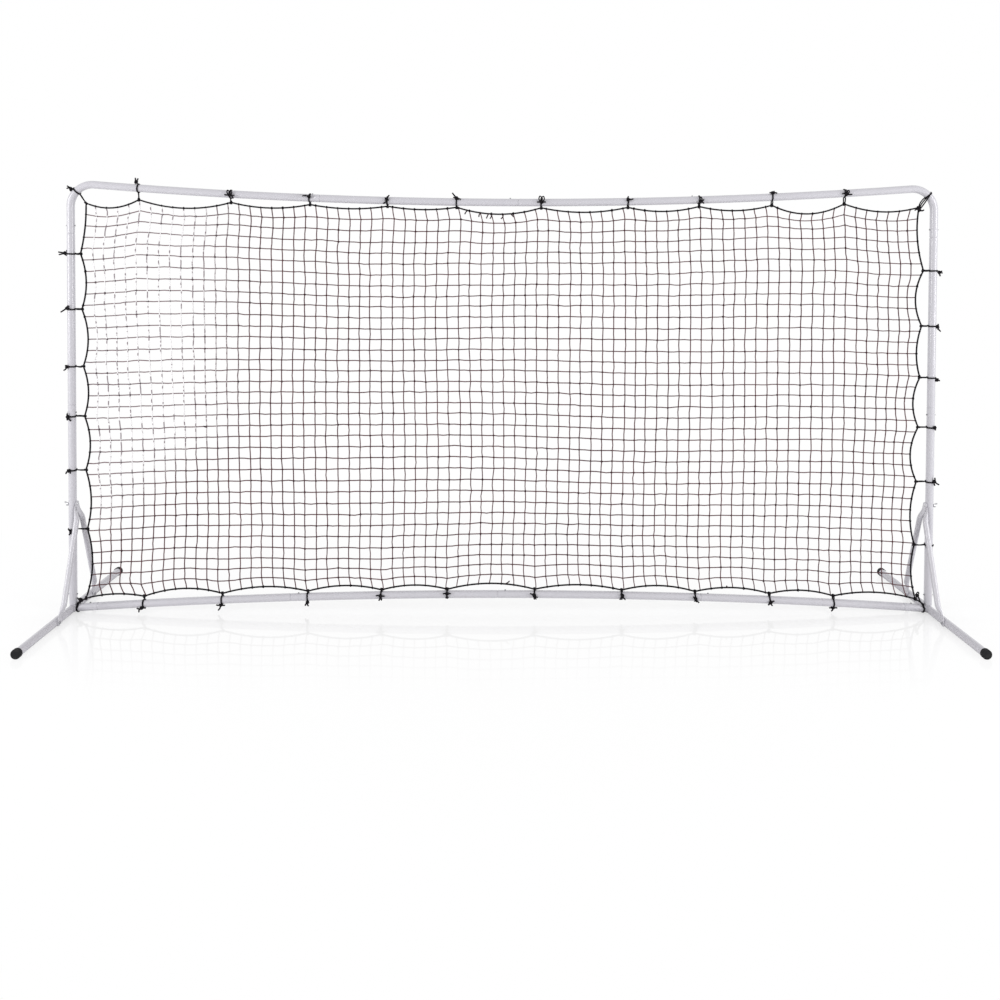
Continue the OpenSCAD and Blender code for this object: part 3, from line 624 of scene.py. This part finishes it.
beadLook = {"rings": 3, "around": 6, "sizes": (0.85, 1.25), "squash": 0.8, "stretch": 1.2}


def slowWave(x, z, seed):
    # a sum of sines of random slant and phase, between about -1 and 1
    draw = np.random.default_rng(seed)
    waves, steepest = waveLook["waves"], waveLook["steepest"]
    slants = draw.uniform(-steepest, steepest, (waves, 2))
    phases = draw.uniform(0, 2 * np.pi, waves)
    total = sum(np.sin(s[0] * x + s[1] * z + p) for s, p in zip(slants, phases))
    return total / math.sqrt(waves)


def beads(name, centres, knotSize, draw):
    # small knots: rings of points at even steps between two poles, squashed and turned at random
    rings, around = beadLook["rings"], beadLook["around"]
    polar = np.pi / (rings + 1) * np.arange(1, rings + 1)[:, None]
    turn = 2 * np.pi / around * np.arange(around)[None, :]
    high = np.broadcast_to(np.cos(polar), (rings, around))
    ball = np.stack([np.sin(polar) * np.cos(turn), high, np.sin(polar) * np.sin(turn)], axis=-1).reshape(-1, 3)
    ball = np.concatenate([ball, [[0, 1, 0], [0, -1, 0]]]) * np.array(knotSize)
    spin = draw.uniform(0, np.pi, len(centres))
    size = draw.uniform(*beadLook["sizes"], (len(centres), 1, 1))
    cosine, sine = np.cos(spin)[:, None], np.sin(spin)[:, None]
    turned = np.stack([
        ball[:, 0] * cosine - ball[:, 2] * sine * beadLook["squash"],
        np.broadcast_to(ball[:, 1], (len(centres), len(ball))),
        ball[:, 0] * sine + ball[:, 2] * cosine * beadLook["stretch"],
    ], axis=-1)
    points = (centres[:, None, :] + turned * size).reshape(-1, 3)
    s = np.arange(around)
    after = (s + 1) % around
    ring = np.arange(rings - 1)[:, None] * around
    a, b = (ring + s).ravel(), (ring + after).ravel()
    last = (rings - 1) * around
    pole = np.full(around, rings * around)

    def inTurn(first, second):
        return np.stack([np.stack(first, axis=-1), np.stack(second, axis=-1)], axis=1).reshape(-1, 3)

    one = np.concatenate([
        inTurn([a, b, b + around], [a, b + around, a + around]),
        inTurn([pole, after, s], [pole + 1, last + s, last + after]),
    ])
    faces = (one[None] + len(ball) * np.arange(len(centres))[:, None, None]).reshape(-1, 3)
    return meshObject(name, points, faces, np.zeros((len(points), 2)))


def makeNet():
    # knots on the net surface, strands through them, and a small knot at each crossing
    look = netLook
    draw = np.random.default_rng(look["seed"])
    columns, rows = look["columns"], look["rows"]
    u, v = np.meshgrid(np.linspace(0, 1, columns + 1), np.linspace(0, 1, rows + 1), indexing="ij")
    width = 2 * border["bottomCorner"][0]
    for column, key in ((0, "bottomEnds"), (-1, "topEnds")):
        places, pulls = np.array(look[key]).T
        u[1:-1, column] += np.interp((u[1:-1, column] - 0.5) * width, places, pulls) / width
    x, z = netPoint(u, v)
    inside = np.clip(look["stiffEdge"] * u * (1 - u), 0, 1) * np.clip(look["stiffEdge"] * v * (1 - v), 0, 1)
    lineX = draw.normal(0, look["lineJitter"], (columns + 1, 1))
    lineZ = draw.normal(0, look["lineJitter"], (1, rows + 1))

    def wander(seed, line):
        # slow drift, a shift of each whole line and a jitter of each knot
        jitter = draw.normal(0, look["knotJitter"], x.shape)
        return inside * (look["drift"] * slowWave(x, z, seed) + line + jitter)

    seedX, seedZ = look["driftSeeds"]
    deep = inside * look["bulge"] * slowWave(x, z, look["bulgeSeed"])
    knots = np.stack([x + wander(seedX, lineX), deep, z + wander(seedZ, lineZ)], axis=-1)

    def halved(routes):
        # a middle point in each cell, a little off the straight line
        middle = (routes[:, :-1] + routes[:, 1:]) / 2
        middle = middle + draw.normal(0, look["middleJitter"], middle.shape)
        out = np.empty((routes.shape[0], 2 * routes.shape[1] - 1, 3))
        out[:, ::2], out[:, 1::2] = routes, middle
        return out

    def ease(along, start, over, share):
        return np.clip((along - start) / over, 0, 1) * share

    upright = halved(knots[1:-1])
    level = halved(knots[:, 1:-1].transpose(1, 0, 2)) + np.array([0, look["radius"] * look["levelBack"], 0])
    fromRight, overRight, shareRight = look["easeRight"]
    fromLow, overLow, shareLow = look["easeLow"]
    made = []
    for name, routes in (("netUprights", upright), ("netLevels", level)):
        right = ease(routes[:, :, 0], fromRight, overRight, shareRight)
        low = ease(-routes[:, :, 2], -fromLow, overLow, shareLow)
        radius = look["radius"] * (1 - right - low)
        rings, along = tubeGrid(routes, radius, look["sides"], np.array([0.0, 1.0, 0.0]))
        faces = tubeFaces(*routes.shape[:2], look["sides"])
        made.append(meshObject(name, rings.reshape(-1, 3), faces, tubeMap(along, look["sides"])))
    back = np.array([0, look["radius"] * look["knotBack"], 0])
    made.append(beads("netKnots", (knots[1:-1, 1:-1] + back).reshape(-1, 3), look["knotSize"], draw))
    hitches = [knots[1:-1, 0], knots[1:-1, -1], knots[0, 1:-1], knots[-1, 1:-1]]
    made.append(beads("borderHitches", np.concatenate(hitches), look["hitchSize"], draw))
    return made


looseLook = {"steps": 5, "sides": 7, "reference": (0.02, 1, 0.01), "bow": 0.12}


def addLoose(strand, points, radius, taper=1.0):
    # a short free cord on a smooth route, its radius times taper at the far end
    route = smoothRoute(points, looseLook["steps"])
    strand.add(route, radius * np.linspace(1, taper, len(route)), looseLook["sides"], looseLook["reference"])


def sideBow(draw, dx, dz):
    # a random bow, square to a run of dx and dz
    return np.array([-dz, 0, dx]) * draw.normal(0, looseLook["bow"])


frayLook = {
    "thicker": 1.1,
    "front": -0.002,
    "tipFront": -0.004,
    "seed": 5,
    # side, place along it, and how far the end runs across and up
    "ends": [
        ("top", -0.153, -0.013, -0.016), ("top", -0.098, -0.009, -0.017), ("top", -0.066, -0.009, -0.020),
        ("top", -0.051, -0.009, -0.020), ("top", -0.004, -0.010, -0.020), ("top", 0.026, 0.013, -0.013),
        ("bottom", 0.008, 0.021, 0.014), ("bottom", 0.955, -0.004, 0.009),
    ],
    "brokenEnd": [(-1.262, -0.003, 0.790), (-1.254, -0.005, 0.7875), (-1.246, -0.003, 0.786)],
    "brokenThicker": 1.2,
}


def makeFrays():
    # short cut ends of twine left at the border, each bent a little, and one broken end within the net
    strand = Strands()
    draw = np.random.default_rng(frayLook["seed"])
    for side, x, dx, dz in frayLook["ends"]:
        sign = -1 if side == "top" else 1
        places, heights, _ = sides[side]
        z = float(np.interp(x, places, heights)) + sign * float(scallop(np.array([x]), side)[0])
        start = np.array([x, frayLook["front"], z])
        tip = start + np.array([dx, frayLook["tipFront"], dz])
        middle = (start + tip) / 2 + sideBow(draw, dx, dz)
        addLoose(strand, [start, middle, tip], netLook["radius"] * frayLook["thicker"])
    addLoose(strand, frayLook["brokenEnd"], netLook["radius"] * frayLook["brokenThicker"])
    return strand.build("netFrays")


netUprights, netLevels, netKnots, borderHitches = makeNet()
dress(netUprights, uprightTwine, "net_twine", "net")
dress(netLevels, levelTwine, "net_twine")
dress(netKnots, knotTwine, "net_twine")
dress(makeFrays(), knotTwine, "net_twine")
dress(borderHitches, cord, "black_cord")
print("stage: net made")

borderLook = {"radius": 0.0034, "steps": 14, "sides": 10}


def makeBorder():
    # one closed cord round the net, an arc in each span between ties
    steps = np.linspace(0, 1, borderLook["steps"], endpoint=False)
    stretches = []
    for side, order, sign in (("bottom", 1, 1), ("right", 1, -1), ("top", -1, -1), ("left", -1, 1)):
        along, across, depths = (values[::order] for values in sides[side])
        a = (along[:-1, None] + np.diff(along)[:, None] * steps).ravel()
        arc = sign * 4 * depths[:, None] * steps * (1 - steps)
        b = (across[:-1, None] + np.diff(across)[:, None] * steps + arc).ravel()
        x, z = (a, b) if side in ("bottom", "top") else (b, a)
        stretches.append(np.stack([x, np.zeros(len(x)), z], axis=-1))
    strand = Strands()
    strand.add(np.concatenate(stretches), borderLook["radius"], borderLook["sides"], (0, 1, 0), closed=True)
    return strand.build("borderCord")


dress(makeBorder(), cord, "black_cord", "border_cord")
print("stage: border cord made")

tieLook = {
    "turn": 0.0016,
    "strand": 0.0027,
    "tail": 0.0036,
    "gap": 0.0002,
    "pitch": 0.0035,
    "turns": 2,
    "turnSteps": 49,
    "wrapSteps": 29,
    "wrapTight": 0.9,
    # strands to the border cord: their turn and shift at the tube, spread and lead at the cord, and slack
    "strandTurn": 0.35,
    "strandShift": 0.45,
    "strandSpread": 0.0012,
    "strandLead": 0.002,
    "strandSlack": 0.001,
    "strandSway": 0.0012,
    # a trefoil knot: ring and tube of its curve, how deep it is, and where it lies off the tube
    "knotRing": 0.0042,
    "knotTube": 0.0020,
    "knotDeep": 1.2,
    "knotSteps": 44,
    "knotOff": 0.0045,
    "knotFront": 0.004,
    "linkFrom": 0.003,
    "linkRight": 0.5,
    "linkLeft": 0.9,
    "linkFront": 0.002,
    # tails run a little to the front, droop, and get thinner
    "tailFront": -0.003,
    "tailJitter": 0.0015,
    "tailDroop": 0.002,
    "tailTaper": 0.8,
    "loopFront": -0.004,
    "loopReach": 0.55,
    "loopWide": 0.28,
    "loopThin": 0.95,
    "slopeStep": 0.001,
    "stubGap": 4,
    "seed": 21,
}
toFront = np.array([0.0, -1.0, 0.0])


class Tie:
    # one tie: where the tube runs, where the net hangs, and where its knot, tails and loops lie
    def __init__(self, axis, run, netAt, knotOff, tails, loops):
        self.axis = np.array([axis[0], 0.0, axis[1]])
        self.run = unitRows(np.array([run[0], 0.0, run[1]]))
        self.netAt = np.array([netAt[0], 0.0, netAt[1]])
        towards = self.netAt - self.axis
        self.out = unitRows(towards - self.run * (towards @ self.run))
        self.knotAt = np.array([netAt[0] + knotOff[0] / 1000, 0.0, netAt[1] + knotOff[1] / 1000])
        self.tails, self.loops = np.array(tails) / 1000, np.array(loops) / 1000

    def onTube(self, angle, shift, rise=0.0):
        # a point round the tube: angle 0 faces the net, 90 degrees the front, 180 away from the net
        r = tubeRadius + tieLook["turn"] + tieLook["gap"] + rise
        around = np.asarray(angle)[..., None]
        return (
            self.axis + r * (np.cos(around) * self.out + np.sin(around) * toFront)
            + np.asarray(shift)[..., None] * self.run
        )

    def knotPlace(self):
        # the knot laid on the tube's front, or held a little to the front where it is beyond the tube
        away = float((self.knotAt - self.axis) @ self.out)
        reach = tubeRadius + tieLook["knotOff"]
        if away > reach:
            depth = tieLook["knotFront"]
        else:
            depth = math.sqrt(max(reach**2 - away**2, 0.0))
        return self.knotAt + depth * toFront, away


def knotCurve(draw):
    # trefoil: (a + b cos 3t) at an angle of 2t, b sin 3t deep, turned at random in the net's plane
    t = np.linspace(0, 2 * np.pi, tieLook["knotSteps"], endpoint=False)
    small = tieLook["knotTube"]
    radius = tieLook["knotRing"] + small * np.cos(3 * t)
    curl = np.stack([
        radius * np.cos(2 * t), small * tieLook["knotDeep"] * np.sin(3 * t), radius * np.sin(2 * t),
    ], axis=-1)
    spin = draw.uniform(0, np.pi)
    turn = np.array([[math.cos(spin), 0, -math.sin(spin)], [0, 1, 0], [math.sin(spin), 0, math.cos(spin)]])
    return curl @ turn.T


def addTie(strand, tie, draw):
    # turns round the tube, strands to the border cord, turns round it, a knot, and the loose tails
    look = tieLook
    r, sidesRound = look["strand"], looseLook["sides"]
    place, away = tie.knotPlace()
    whole = 2 * np.pi * look["turns"]
    turns = np.linspace(0, whole, look["turnSteps"])
    radial = unitRows(tie.onTube(turns, 0 * turns) - tie.axis)
    strand.add(tie.onTube(turns, (turns / (2 * np.pi) - 1) * look["pitch"]), look["turn"], sidesRound, radial)
    # strands from the tube's near side to the border cord, slack by a little
    sway = draw.normal(0, look["strandSway"], 2)
    for s in (-1, 1):
        start = tie.onTube(look["strandTurn"] * s, s * look["pitch"] * look["strandShift"], r - look["turn"])
        end = tie.netAt + s * look["strandSpread"] * tie.run + look["strandLead"] * s * toFront
        slack = tie.run * (sway[0] + s * abs(sway[1]) / 2) + look["strandSlack"] * s * toFront
        addLoose(strand, [start, (start + end) / 2 + slack, end], r)
    # turns round the border cord
    ring = np.linspace(0, whole, look["wrapSteps"])
    reach = borderLook["radius"] + r * look["wrapTight"]
    wrap = (
        tie.netAt + reach * (np.cos(ring)[:, None] * tie.out - np.sin(ring)[:, None] * toFront)
        + ((ring / (2 * np.pi) - 1) * look["pitch"])[:, None] * tie.run
    )
    strand.add(wrap, r, sidesRound, unitRows(wrap - tie.netAt))
    curl = knotCurve(draw)
    strand.add(place + curl, r, sidesRound, unitRows(curl + 1e-6), closed=True)
    # strand that joins a knot off the tube to the turns
    if abs(away) > tubeRadius + look["knotOff"] + look["linkFrom"]:
        near = tie.onTube(math.pi * (look["linkRight"] if away > 0 else look["linkLeft"]), 0.0)
        addLoose(strand, [near, (near + place) / 2 + look["linkFront"] * toFront, place], r)
    for dx, dz in tie.tails:
        tip = place + np.array([dx, look["tailFront"] + draw.normal(0, look["tailJitter"]), dz])
        bow = sideBow(draw, dx, dz) + look["tailDroop"] * toFront
        addLoose(strand, [place, place + (tip - place) * 0.5 + bow, tip], look["tail"], look["tailTaper"])
    for dx, dz in tie.loops:
        tip = np.array([dx, look["loopFront"], dz])
        wide = unitRows(np.array([-dz, 0.0, dx])) * np.linalg.norm([dx, dz]) * look["loopWide"]
        halfway = place + tip * look["loopReach"]
        addLoose(strand, [place, halfway + wide, place + tip, halfway - wide, place], r * look["loopThin"])


# for each tie, in millimetres: its knot from the border point, then the tips of its tails and of its loops
# from the knot
tieDetails = {
    "top": [
        ((-11, 74), [(-3, 17), (10, 15)], []),
        ((0, 30), [(-21, 1), (21, -1), (16, -15)], [(-8, 19), (7, 18)]),
        ((0, 32), [(8, 12), (-27, 2)], []),
        ((-1, 27), [(-15, -17), (11, 18), (-8, 6)], []),
        ((1, 37), [(-15, 4), (17, -5), (-19, 22)], []),
        ((0, 22), [(-19, 0), (18, 1)], [(-7, 25), (8, 24)]),
        ((-2, 32), [(1, 13), (-1, -12), (21, 2)], []),
        ((2, 19), [(-14, -9), (13, 9), (14, -8)], [(0, 19)]),
        ((0, 51), [(-15, 1), (17, -1), (5, 8)], []),
        ((3, 40), [(-20, 1), (21, -1)], [(-6, 17), (7, 15)]),
    ],
    "bottom": [
        ((-6, -45), [(-19, 0), (19, 1), (-10, -16)], []),
        ((-6, -47), [(-19, 0), (19, 0), (-10, -22)], []),
        ((-3, -49), [(-9, -13), (7, -12)], []),
        ((-2, -18), [(-19, 1), (17, -1), (-6, -20), (5, -19)], []),
        ((-1, -12), [(-17, 1), (16, 0), (-5, -19), (6, -18)], []),
        ((-3, -18), [(-17, 9), (15, -9), (2, -16), (9, -17)], []),
        ((0, -16), [(-11, -17), (13, -17), (-9, 8)], []),
        ((-1, -23), [(-12, 9), (14, -17), (4, -14)], []),
        ((1, -32), [(-13, -9), (14, 9), (6, -12)], []),
        ((0, -51), [(-17, 0), (17, 0), (-8, -14)], []),
    ],
    "left": [
        ((-59, -9), [(-8, 13), (9, -12), (-7, -11)], []),
        ((-63, 0), [(-10, -12), (9, -11)], []),
        ((-62, 0), [(0, 15), (0, -15), (15, -18)], []),
        ((-60, -1), [(-13, -15), (-5, 8)], []),
        ((-53, 5), [(-25, -17), (5, 12), (13, -5)], []),
        ((-64, 3), [(-27, 4), (-24, -7), (9, 13), (8, -12)], []),
    ],
    "right": [
        ((49, -4), [(9, 10), (10, -9)], []),
        ((68, 4), [(0, 17), (0, -16), (19, -13)], []),
        ((61, 0), [(0, 10), (2, -9)], []),
        ((66, -9), [(12, -3), (4, 8)], []),
        ((62, -3), [(0, 13), (0, -12), (13, -19)], []),
        ((68, -7), [(12, -2), (9, 6), (3, -16)], []),
    ],
}


# side, sign of x and details of the ties at the corners
cornerDetails = [
    ("top", -1, ((-57, 56), [(-15, 14), (-16, 3), (3, 10)], [])),
    ("top", 1, ((0, -12), [(-21, -1), (19, 1), (-6, 14)], [(-10, 15)])),
    ("bottom", -1, ((-22, -4), [(-12, 8), (-10, -12), (9, -9)], [])),
    ("bottom", 1, ((6, 16), [(10, -22), (-8, 8)], [(2, 16)])),
]


def makeTies():
    # every tie on the tube beside it, gathered into one piece for each side of the frame
    draw = np.random.default_rng(tieLook["seed"])
    made = {side: Strands() for side in ("top", "bottom", "left", "right")}
    step = tieLook["slopeStep"]
    for side, rail, point in (("top", topRail, topPoint), ("bottom", bottomRail, bottomPoint)):
        for x, details in zip(border[side + "Ties"], tieDetails[side]):
            slope = float(rail(x + step) - rail(x - step)) / (2 * step)
            addTie(made[side], Tie((x, float(rail(x))), (1, slope), (x, float(point(x))), *details), draw)
    for side, sign in (("left", -1), ("right", 1)):
        for z, details in zip(border[side + "Ties"], tieDetails[side]):
            netAt = (sign * float(sidePoint(z)), z)
            addTie(made[side], Tie((sign * halfWidth, z), (0, 1), netAt, *details), draw)
    # corners: round the middle of each top bend and round the rail's stub beside each foot
    bendShift = frameLines["bendRadius"] / math.sqrt(2)
    topX, topZ = border["topCorner"]
    lowX, lowZ = border["bottomCorner"]
    stubTurn = halfWidth - tubeRadius - tieLook["stubGap"] * tieLook["turn"]
    stubZ = footAxis + (halfWidth - stubTurn) * math.tan(stubSlope)
    for side, sign, details in cornerDetails:
        if side == "top":
            corner = (sign * (bendX + bendShift), bendZ + bendShift), (1, -sign), (sign * topX, topZ)
        else:
            corner = (sign * stubTurn, stubZ), (1, -sign * stubSlope), (sign * lowX, lowZ)
        addTie(made[side], Tie(*corner, *details), draw)
    for side, strand in made.items():
        dress(strand.build("ties_" + side + "_lacing"), cord, "black_cord", "ties_" + side)


makeTies()
print("stage: ties made")

braceLook = {
    "rise": 0.442,
    "reach": 0.158,
    "radius": 0.011,
    "flatHalf": 0.013,
    "tip": 0.013,
    "flatThick": 0.0024,
    "openFrom": 0.022,
    "openOver": 0.050,
    "squareness": 5,
    "stack": 0.0025,
    "around": 56,
    "steps": 30,
    "tipSteps": 12,
}


def makeBrace(name, side, front):
    # a tube pressed flat at both ends: a smooth step k along it turns the section from a thin slot,
    # |cos a|^power wide and |sin a|^power thick, into a circle
    b = braceLook
    length = math.hypot(b["rise"], b["reach"])
    tip = b["tip"]
    endRun = -tip * np.cos(np.linspace(0, np.pi / 2, b["tipSteps"]))
    blendRun = b["openFrom"] + b["openOver"] * np.linspace(0, 1, b["steps"])[1:]
    half = np.concatenate([endRun, [b["openFrom"] / 2, b["openFrom"]], blendRun])
    s = np.concatenate([half, length - half[::-1]])
    near = np.minimum(s, length - s)
    k = np.clip((near - b["openFrom"]) / b["openOver"], 0, 1)
    k = k * k * (3 - 2 * k)
    wide = (1 - k) * b["flatHalf"] + k * b["radius"]
    rounded = b["flatHalf"] - tip + np.sqrt(np.maximum(tip**2 - near**2, 0))
    wide = np.where(near < 0, rounded, wide)
    thick = (1 - k) * b["flatThick"] / 2 + k * b["radius"]
    power = (2 / (2 + b["squareness"] * (1 - k)))[:, None]
    angle = np.linspace(0, 2 * np.pi, b["around"], endpoint=False)
    cosine, sine = np.cos(angle)[None, :], np.sin(angle)[None, :]
    y = wide[:, None] * np.sign(cosine) * np.abs(cosine) ** power
    x = thick[:, None] * (1 + np.sign(sine) * np.abs(sine) ** power)
    z = np.broadcast_to(s[:, None], x.shape)
    # mirror, tilt inwards, lean towards the upright, then the brace's own place
    tilt = -math.asin((0 if front > 0 else b["stack"]) / length)
    lean = -front * math.atan2(b["reach"], b["rise"])
    x1 = -x * math.cos(tilt) + z * math.sin(tilt)
    z1 = x * math.sin(tilt) + z * math.cos(tilt)
    y2 = y * math.cos(lean) - z1 * math.sin(lean)
    z2 = y * math.sin(lean) + z1 * math.cos(lean)
    points = np.stack([side * (halfWidth - tubeRadius + x1), y2 - front * b["reach"], z2 + footAxis], axis=-1)
    rings, around = x.shape
    points = np.concatenate([points.reshape(-1, 3), points[:1].mean(axis=1), points[-1:].mean(axis=1)])
    # the mirrored side turns its faces round
    order = -1 if side > 0 else 1
    faces = tubeFaces(1, rings, around)[:, ::order].tolist() + endCaps(rings, around)[:, ::order].tolist()
    return meshObject(name, points, faces)


for side, sideName in ((-1, "left"), (1, "right")):
    for front, frontName in ((1, "front"), (-1, "rear")):
        place = frontName + "_" + sideName
        dress(makeBrace("braceTube_" + place, side, front), coat, "coated_steel", "brace_" + place)
print("stage: braces made")

weldLook = {
    "radius": 0.0016,
    "ripple": 0.0003,
    "ripples": 44,
    "steps": 176,
    "sides": 8,
    "sunk": 0.98,
    "proud": 0.0012,
    "wide": 1.03,
}


def makeWelds():
    # where a rail stub meets its foot tube, two equal tubes: |x| = sqrt(r^2 - z^2), with small ripples
    look = weldLook
    strand = Strands()
    t = np.linspace(0, 2 * np.pi, look["steps"], endpoint=False)
    y, z = tubeRadius * np.cos(t), tubeRadius * np.sin(t)
    away = np.sqrt(np.maximum(tubeRadius**2 - z**2, 0)) * look["sunk"] + look["proud"]
    radius = look["radius"] + look["ripple"] * np.sin(look["ripples"] * t)
    radius = np.concatenate([radius[-1:], radius, radius[:1]])[None]
    out = unitRows(np.stack([0 * y, y, z], axis=-1))
    for side in (-1, 1):
        x = side * (halfWidth - away)
        rise = (halfWidth - np.abs(x)) * math.tan(stubSlope)
        route = np.stack([x, y * look["wide"], footAxis + z + rise], axis=-1)
        strand.add(route, radius, look["sides"], out, closed=True)
    return strand.build("weldBeads")


dress(makeWelds(), coat, "coated_steel")
print("stage: welds made")

stageLook = {
    "floorSize": 300.0,
    "shade": (0.95, 0.95, 0.955),
    "keep": 0.30,
    "stretch": (1.0, 1.6, 1.0),
    "reach": (1.9, 3.2),
    "shadeBand": (0.05, 0.30),
    "shadeLeft": 0.35,
    "gloss": 0.12,
    "glossRough": 0.015,
    "glossBand": (0.0, 0.78),
}


def makeFloor():
    # shows its shadow and a faint reflection near the frame, and fades to plain white away from it
    look = stageLook
    half = look["floorSize"] / 2
    corners = np.array([[-half, -half, 0], [half, -half, 0], [half, half, 0], [-half, half, 0]])
    floor = meshObject("studioFloor", corners, [[0, 1, 2, 3]], smooth=False)
    paint = Paint("studioFloor")
    cameraRay = paint.node("ShaderNodeLightPath", out="Is Camera Ray")
    place = paint.place()
    flat = paint.stretched(place, look["stretch"])
    away = paint.node("ShaderNodeVectorMath", {"operation": "LENGTH"}, flat, out=1)
    near = paint.fade(away, *look["reach"], 1.0, 0.0)
    ahead = paint.split(place, 1)[0].maths("ABSOLUTE")
    body = paint.node("ShaderNodeBsdfDiffuse", None, Color=opaque(look["shade"]))
    glow = paint.node("ShaderNodeEmission", None, Color=opaque(pureWhite), Strength=1.0)
    shadow = near * paint.fade(ahead, *look["shadeBand"], 1.0, look["shadeLeft"])
    plain = paint.node("ShaderNodeMixShader", None, cameraRay * (1 - shadow * look["keep"]), body, glow)
    depth = paint.fade(ahead, *look["glossBand"], 1.0, 0.0)
    shine = paint.node("ShaderNodeBsdfGlossy", None, Color=opaque(pureWhite), Roughness=look["glossRough"])
    gloss = cameraRay * near * depth * look["gloss"]
    floor.data.materials.append(paint.close(paint.node("ShaderNodeMixShader", None, gloss, plain, shine)))


# name, place, aim, width and watts of each lamp
lightLook = {
    "world": 0.88,
    "lamps": [
        ("leftLamp", (-5.5, -3.2, 1.8), (0, 0, 0.9), 2.6, 135),
        ("rightLamp", (5.5, -3.2, 1.8), (0, 0, 0.9), 2.6, 135),
    ],
}


def makeWorld():
    # white where the camera or a reflection looks, softer as a light
    paint = Paint("studio", bpy.data.worlds)
    bpy.context.scene.world = paint.owner
    seen = paint.node("ShaderNodeLightPath", out="Is Camera Ray")
    for ray in ("Is Glossy Ray", "Is Transmission Ray"):
        seen = seen.maths("MAXIMUM", paint.node("ShaderNodeLightPath", out=ray))
    soft = paint.node("ShaderNodeBackground", None, Color=opaque(pureWhite), Strength=lightLook["world"])
    bright = paint.node("ShaderNodeBackground", None, Color=opaque(pureWhite))
    paint.close(paint.node("ShaderNodeMixShader", None, seen, soft, bright), "ShaderNodeOutputWorld")


def addLamp(name, place, aim, size, power):
    lamp = bpy.data.lights.new(name, "AREA")
    lamp.shape, lamp.size, lamp.energy = "SQUARE", size, power
    made = bpy.data.objects.new(name, lamp)
    bpy.context.scene.collection.objects.link(made)
    way = np.array(aim, float) - np.array(place, float)
    down = math.acos(-way[2] / np.linalg.norm(way))
    made.location = place
    made.rotation_euler = (down, 0.0, math.atan2(way[1], way[0]) - math.pi / 2)


# focal and axisPixel are in pixels of a square image
cameraSet = {
    "place": (-0.0473, -3.6745, 1.4602),
    "degreesDown": 1.308,
    "degreesLeft": -0.542,
    "degreesRoll": -0.257,
    "focal": 872.84,
    "axisPixel": (501.0, 288.2),
    "pixels": 1000,
    "sensor": 36.0,
}


def makeCamera():
    pixels = cameraSet["pixels"]
    axisX, axisY = cameraSet["axisPixel"]
    data = bpy.data.cameras.new("studioCamera")
    data.sensor_width = cameraSet["sensor"]
    data.lens = cameraSet["focal"] * cameraSet["sensor"] / pixels
    data.shift_x = (pixels / 2 - axisX) / pixels
    data.shift_y = (axisY - pixels / 2) / pixels
    made = bpy.data.objects.new("studioCamera", data)
    made.location = cameraSet["place"]
    turn = (
        Matrix.Rotation(math.radians(cameraSet["degreesLeft"]), 3, "Z")
        @ Matrix.Rotation(math.pi / 2 - math.radians(cameraSet["degreesDown"]), 3, "X")
        @ Matrix.Rotation(-math.radians(cameraSet["degreesRoll"]), 3, "Z")
    )
    made.rotation_euler = turn.to_euler()
    bpy.context.scene.collection.objects.link(made)
    bpy.context.scene.camera = made


bpy.context.scene.view_settings.view_transform = "Standard"
makeCamera()
makeFloor()
makeWorld()
for lampRow in lightLook["lamps"]:
    addLamp(*lampRow)
print("stage: studio made")
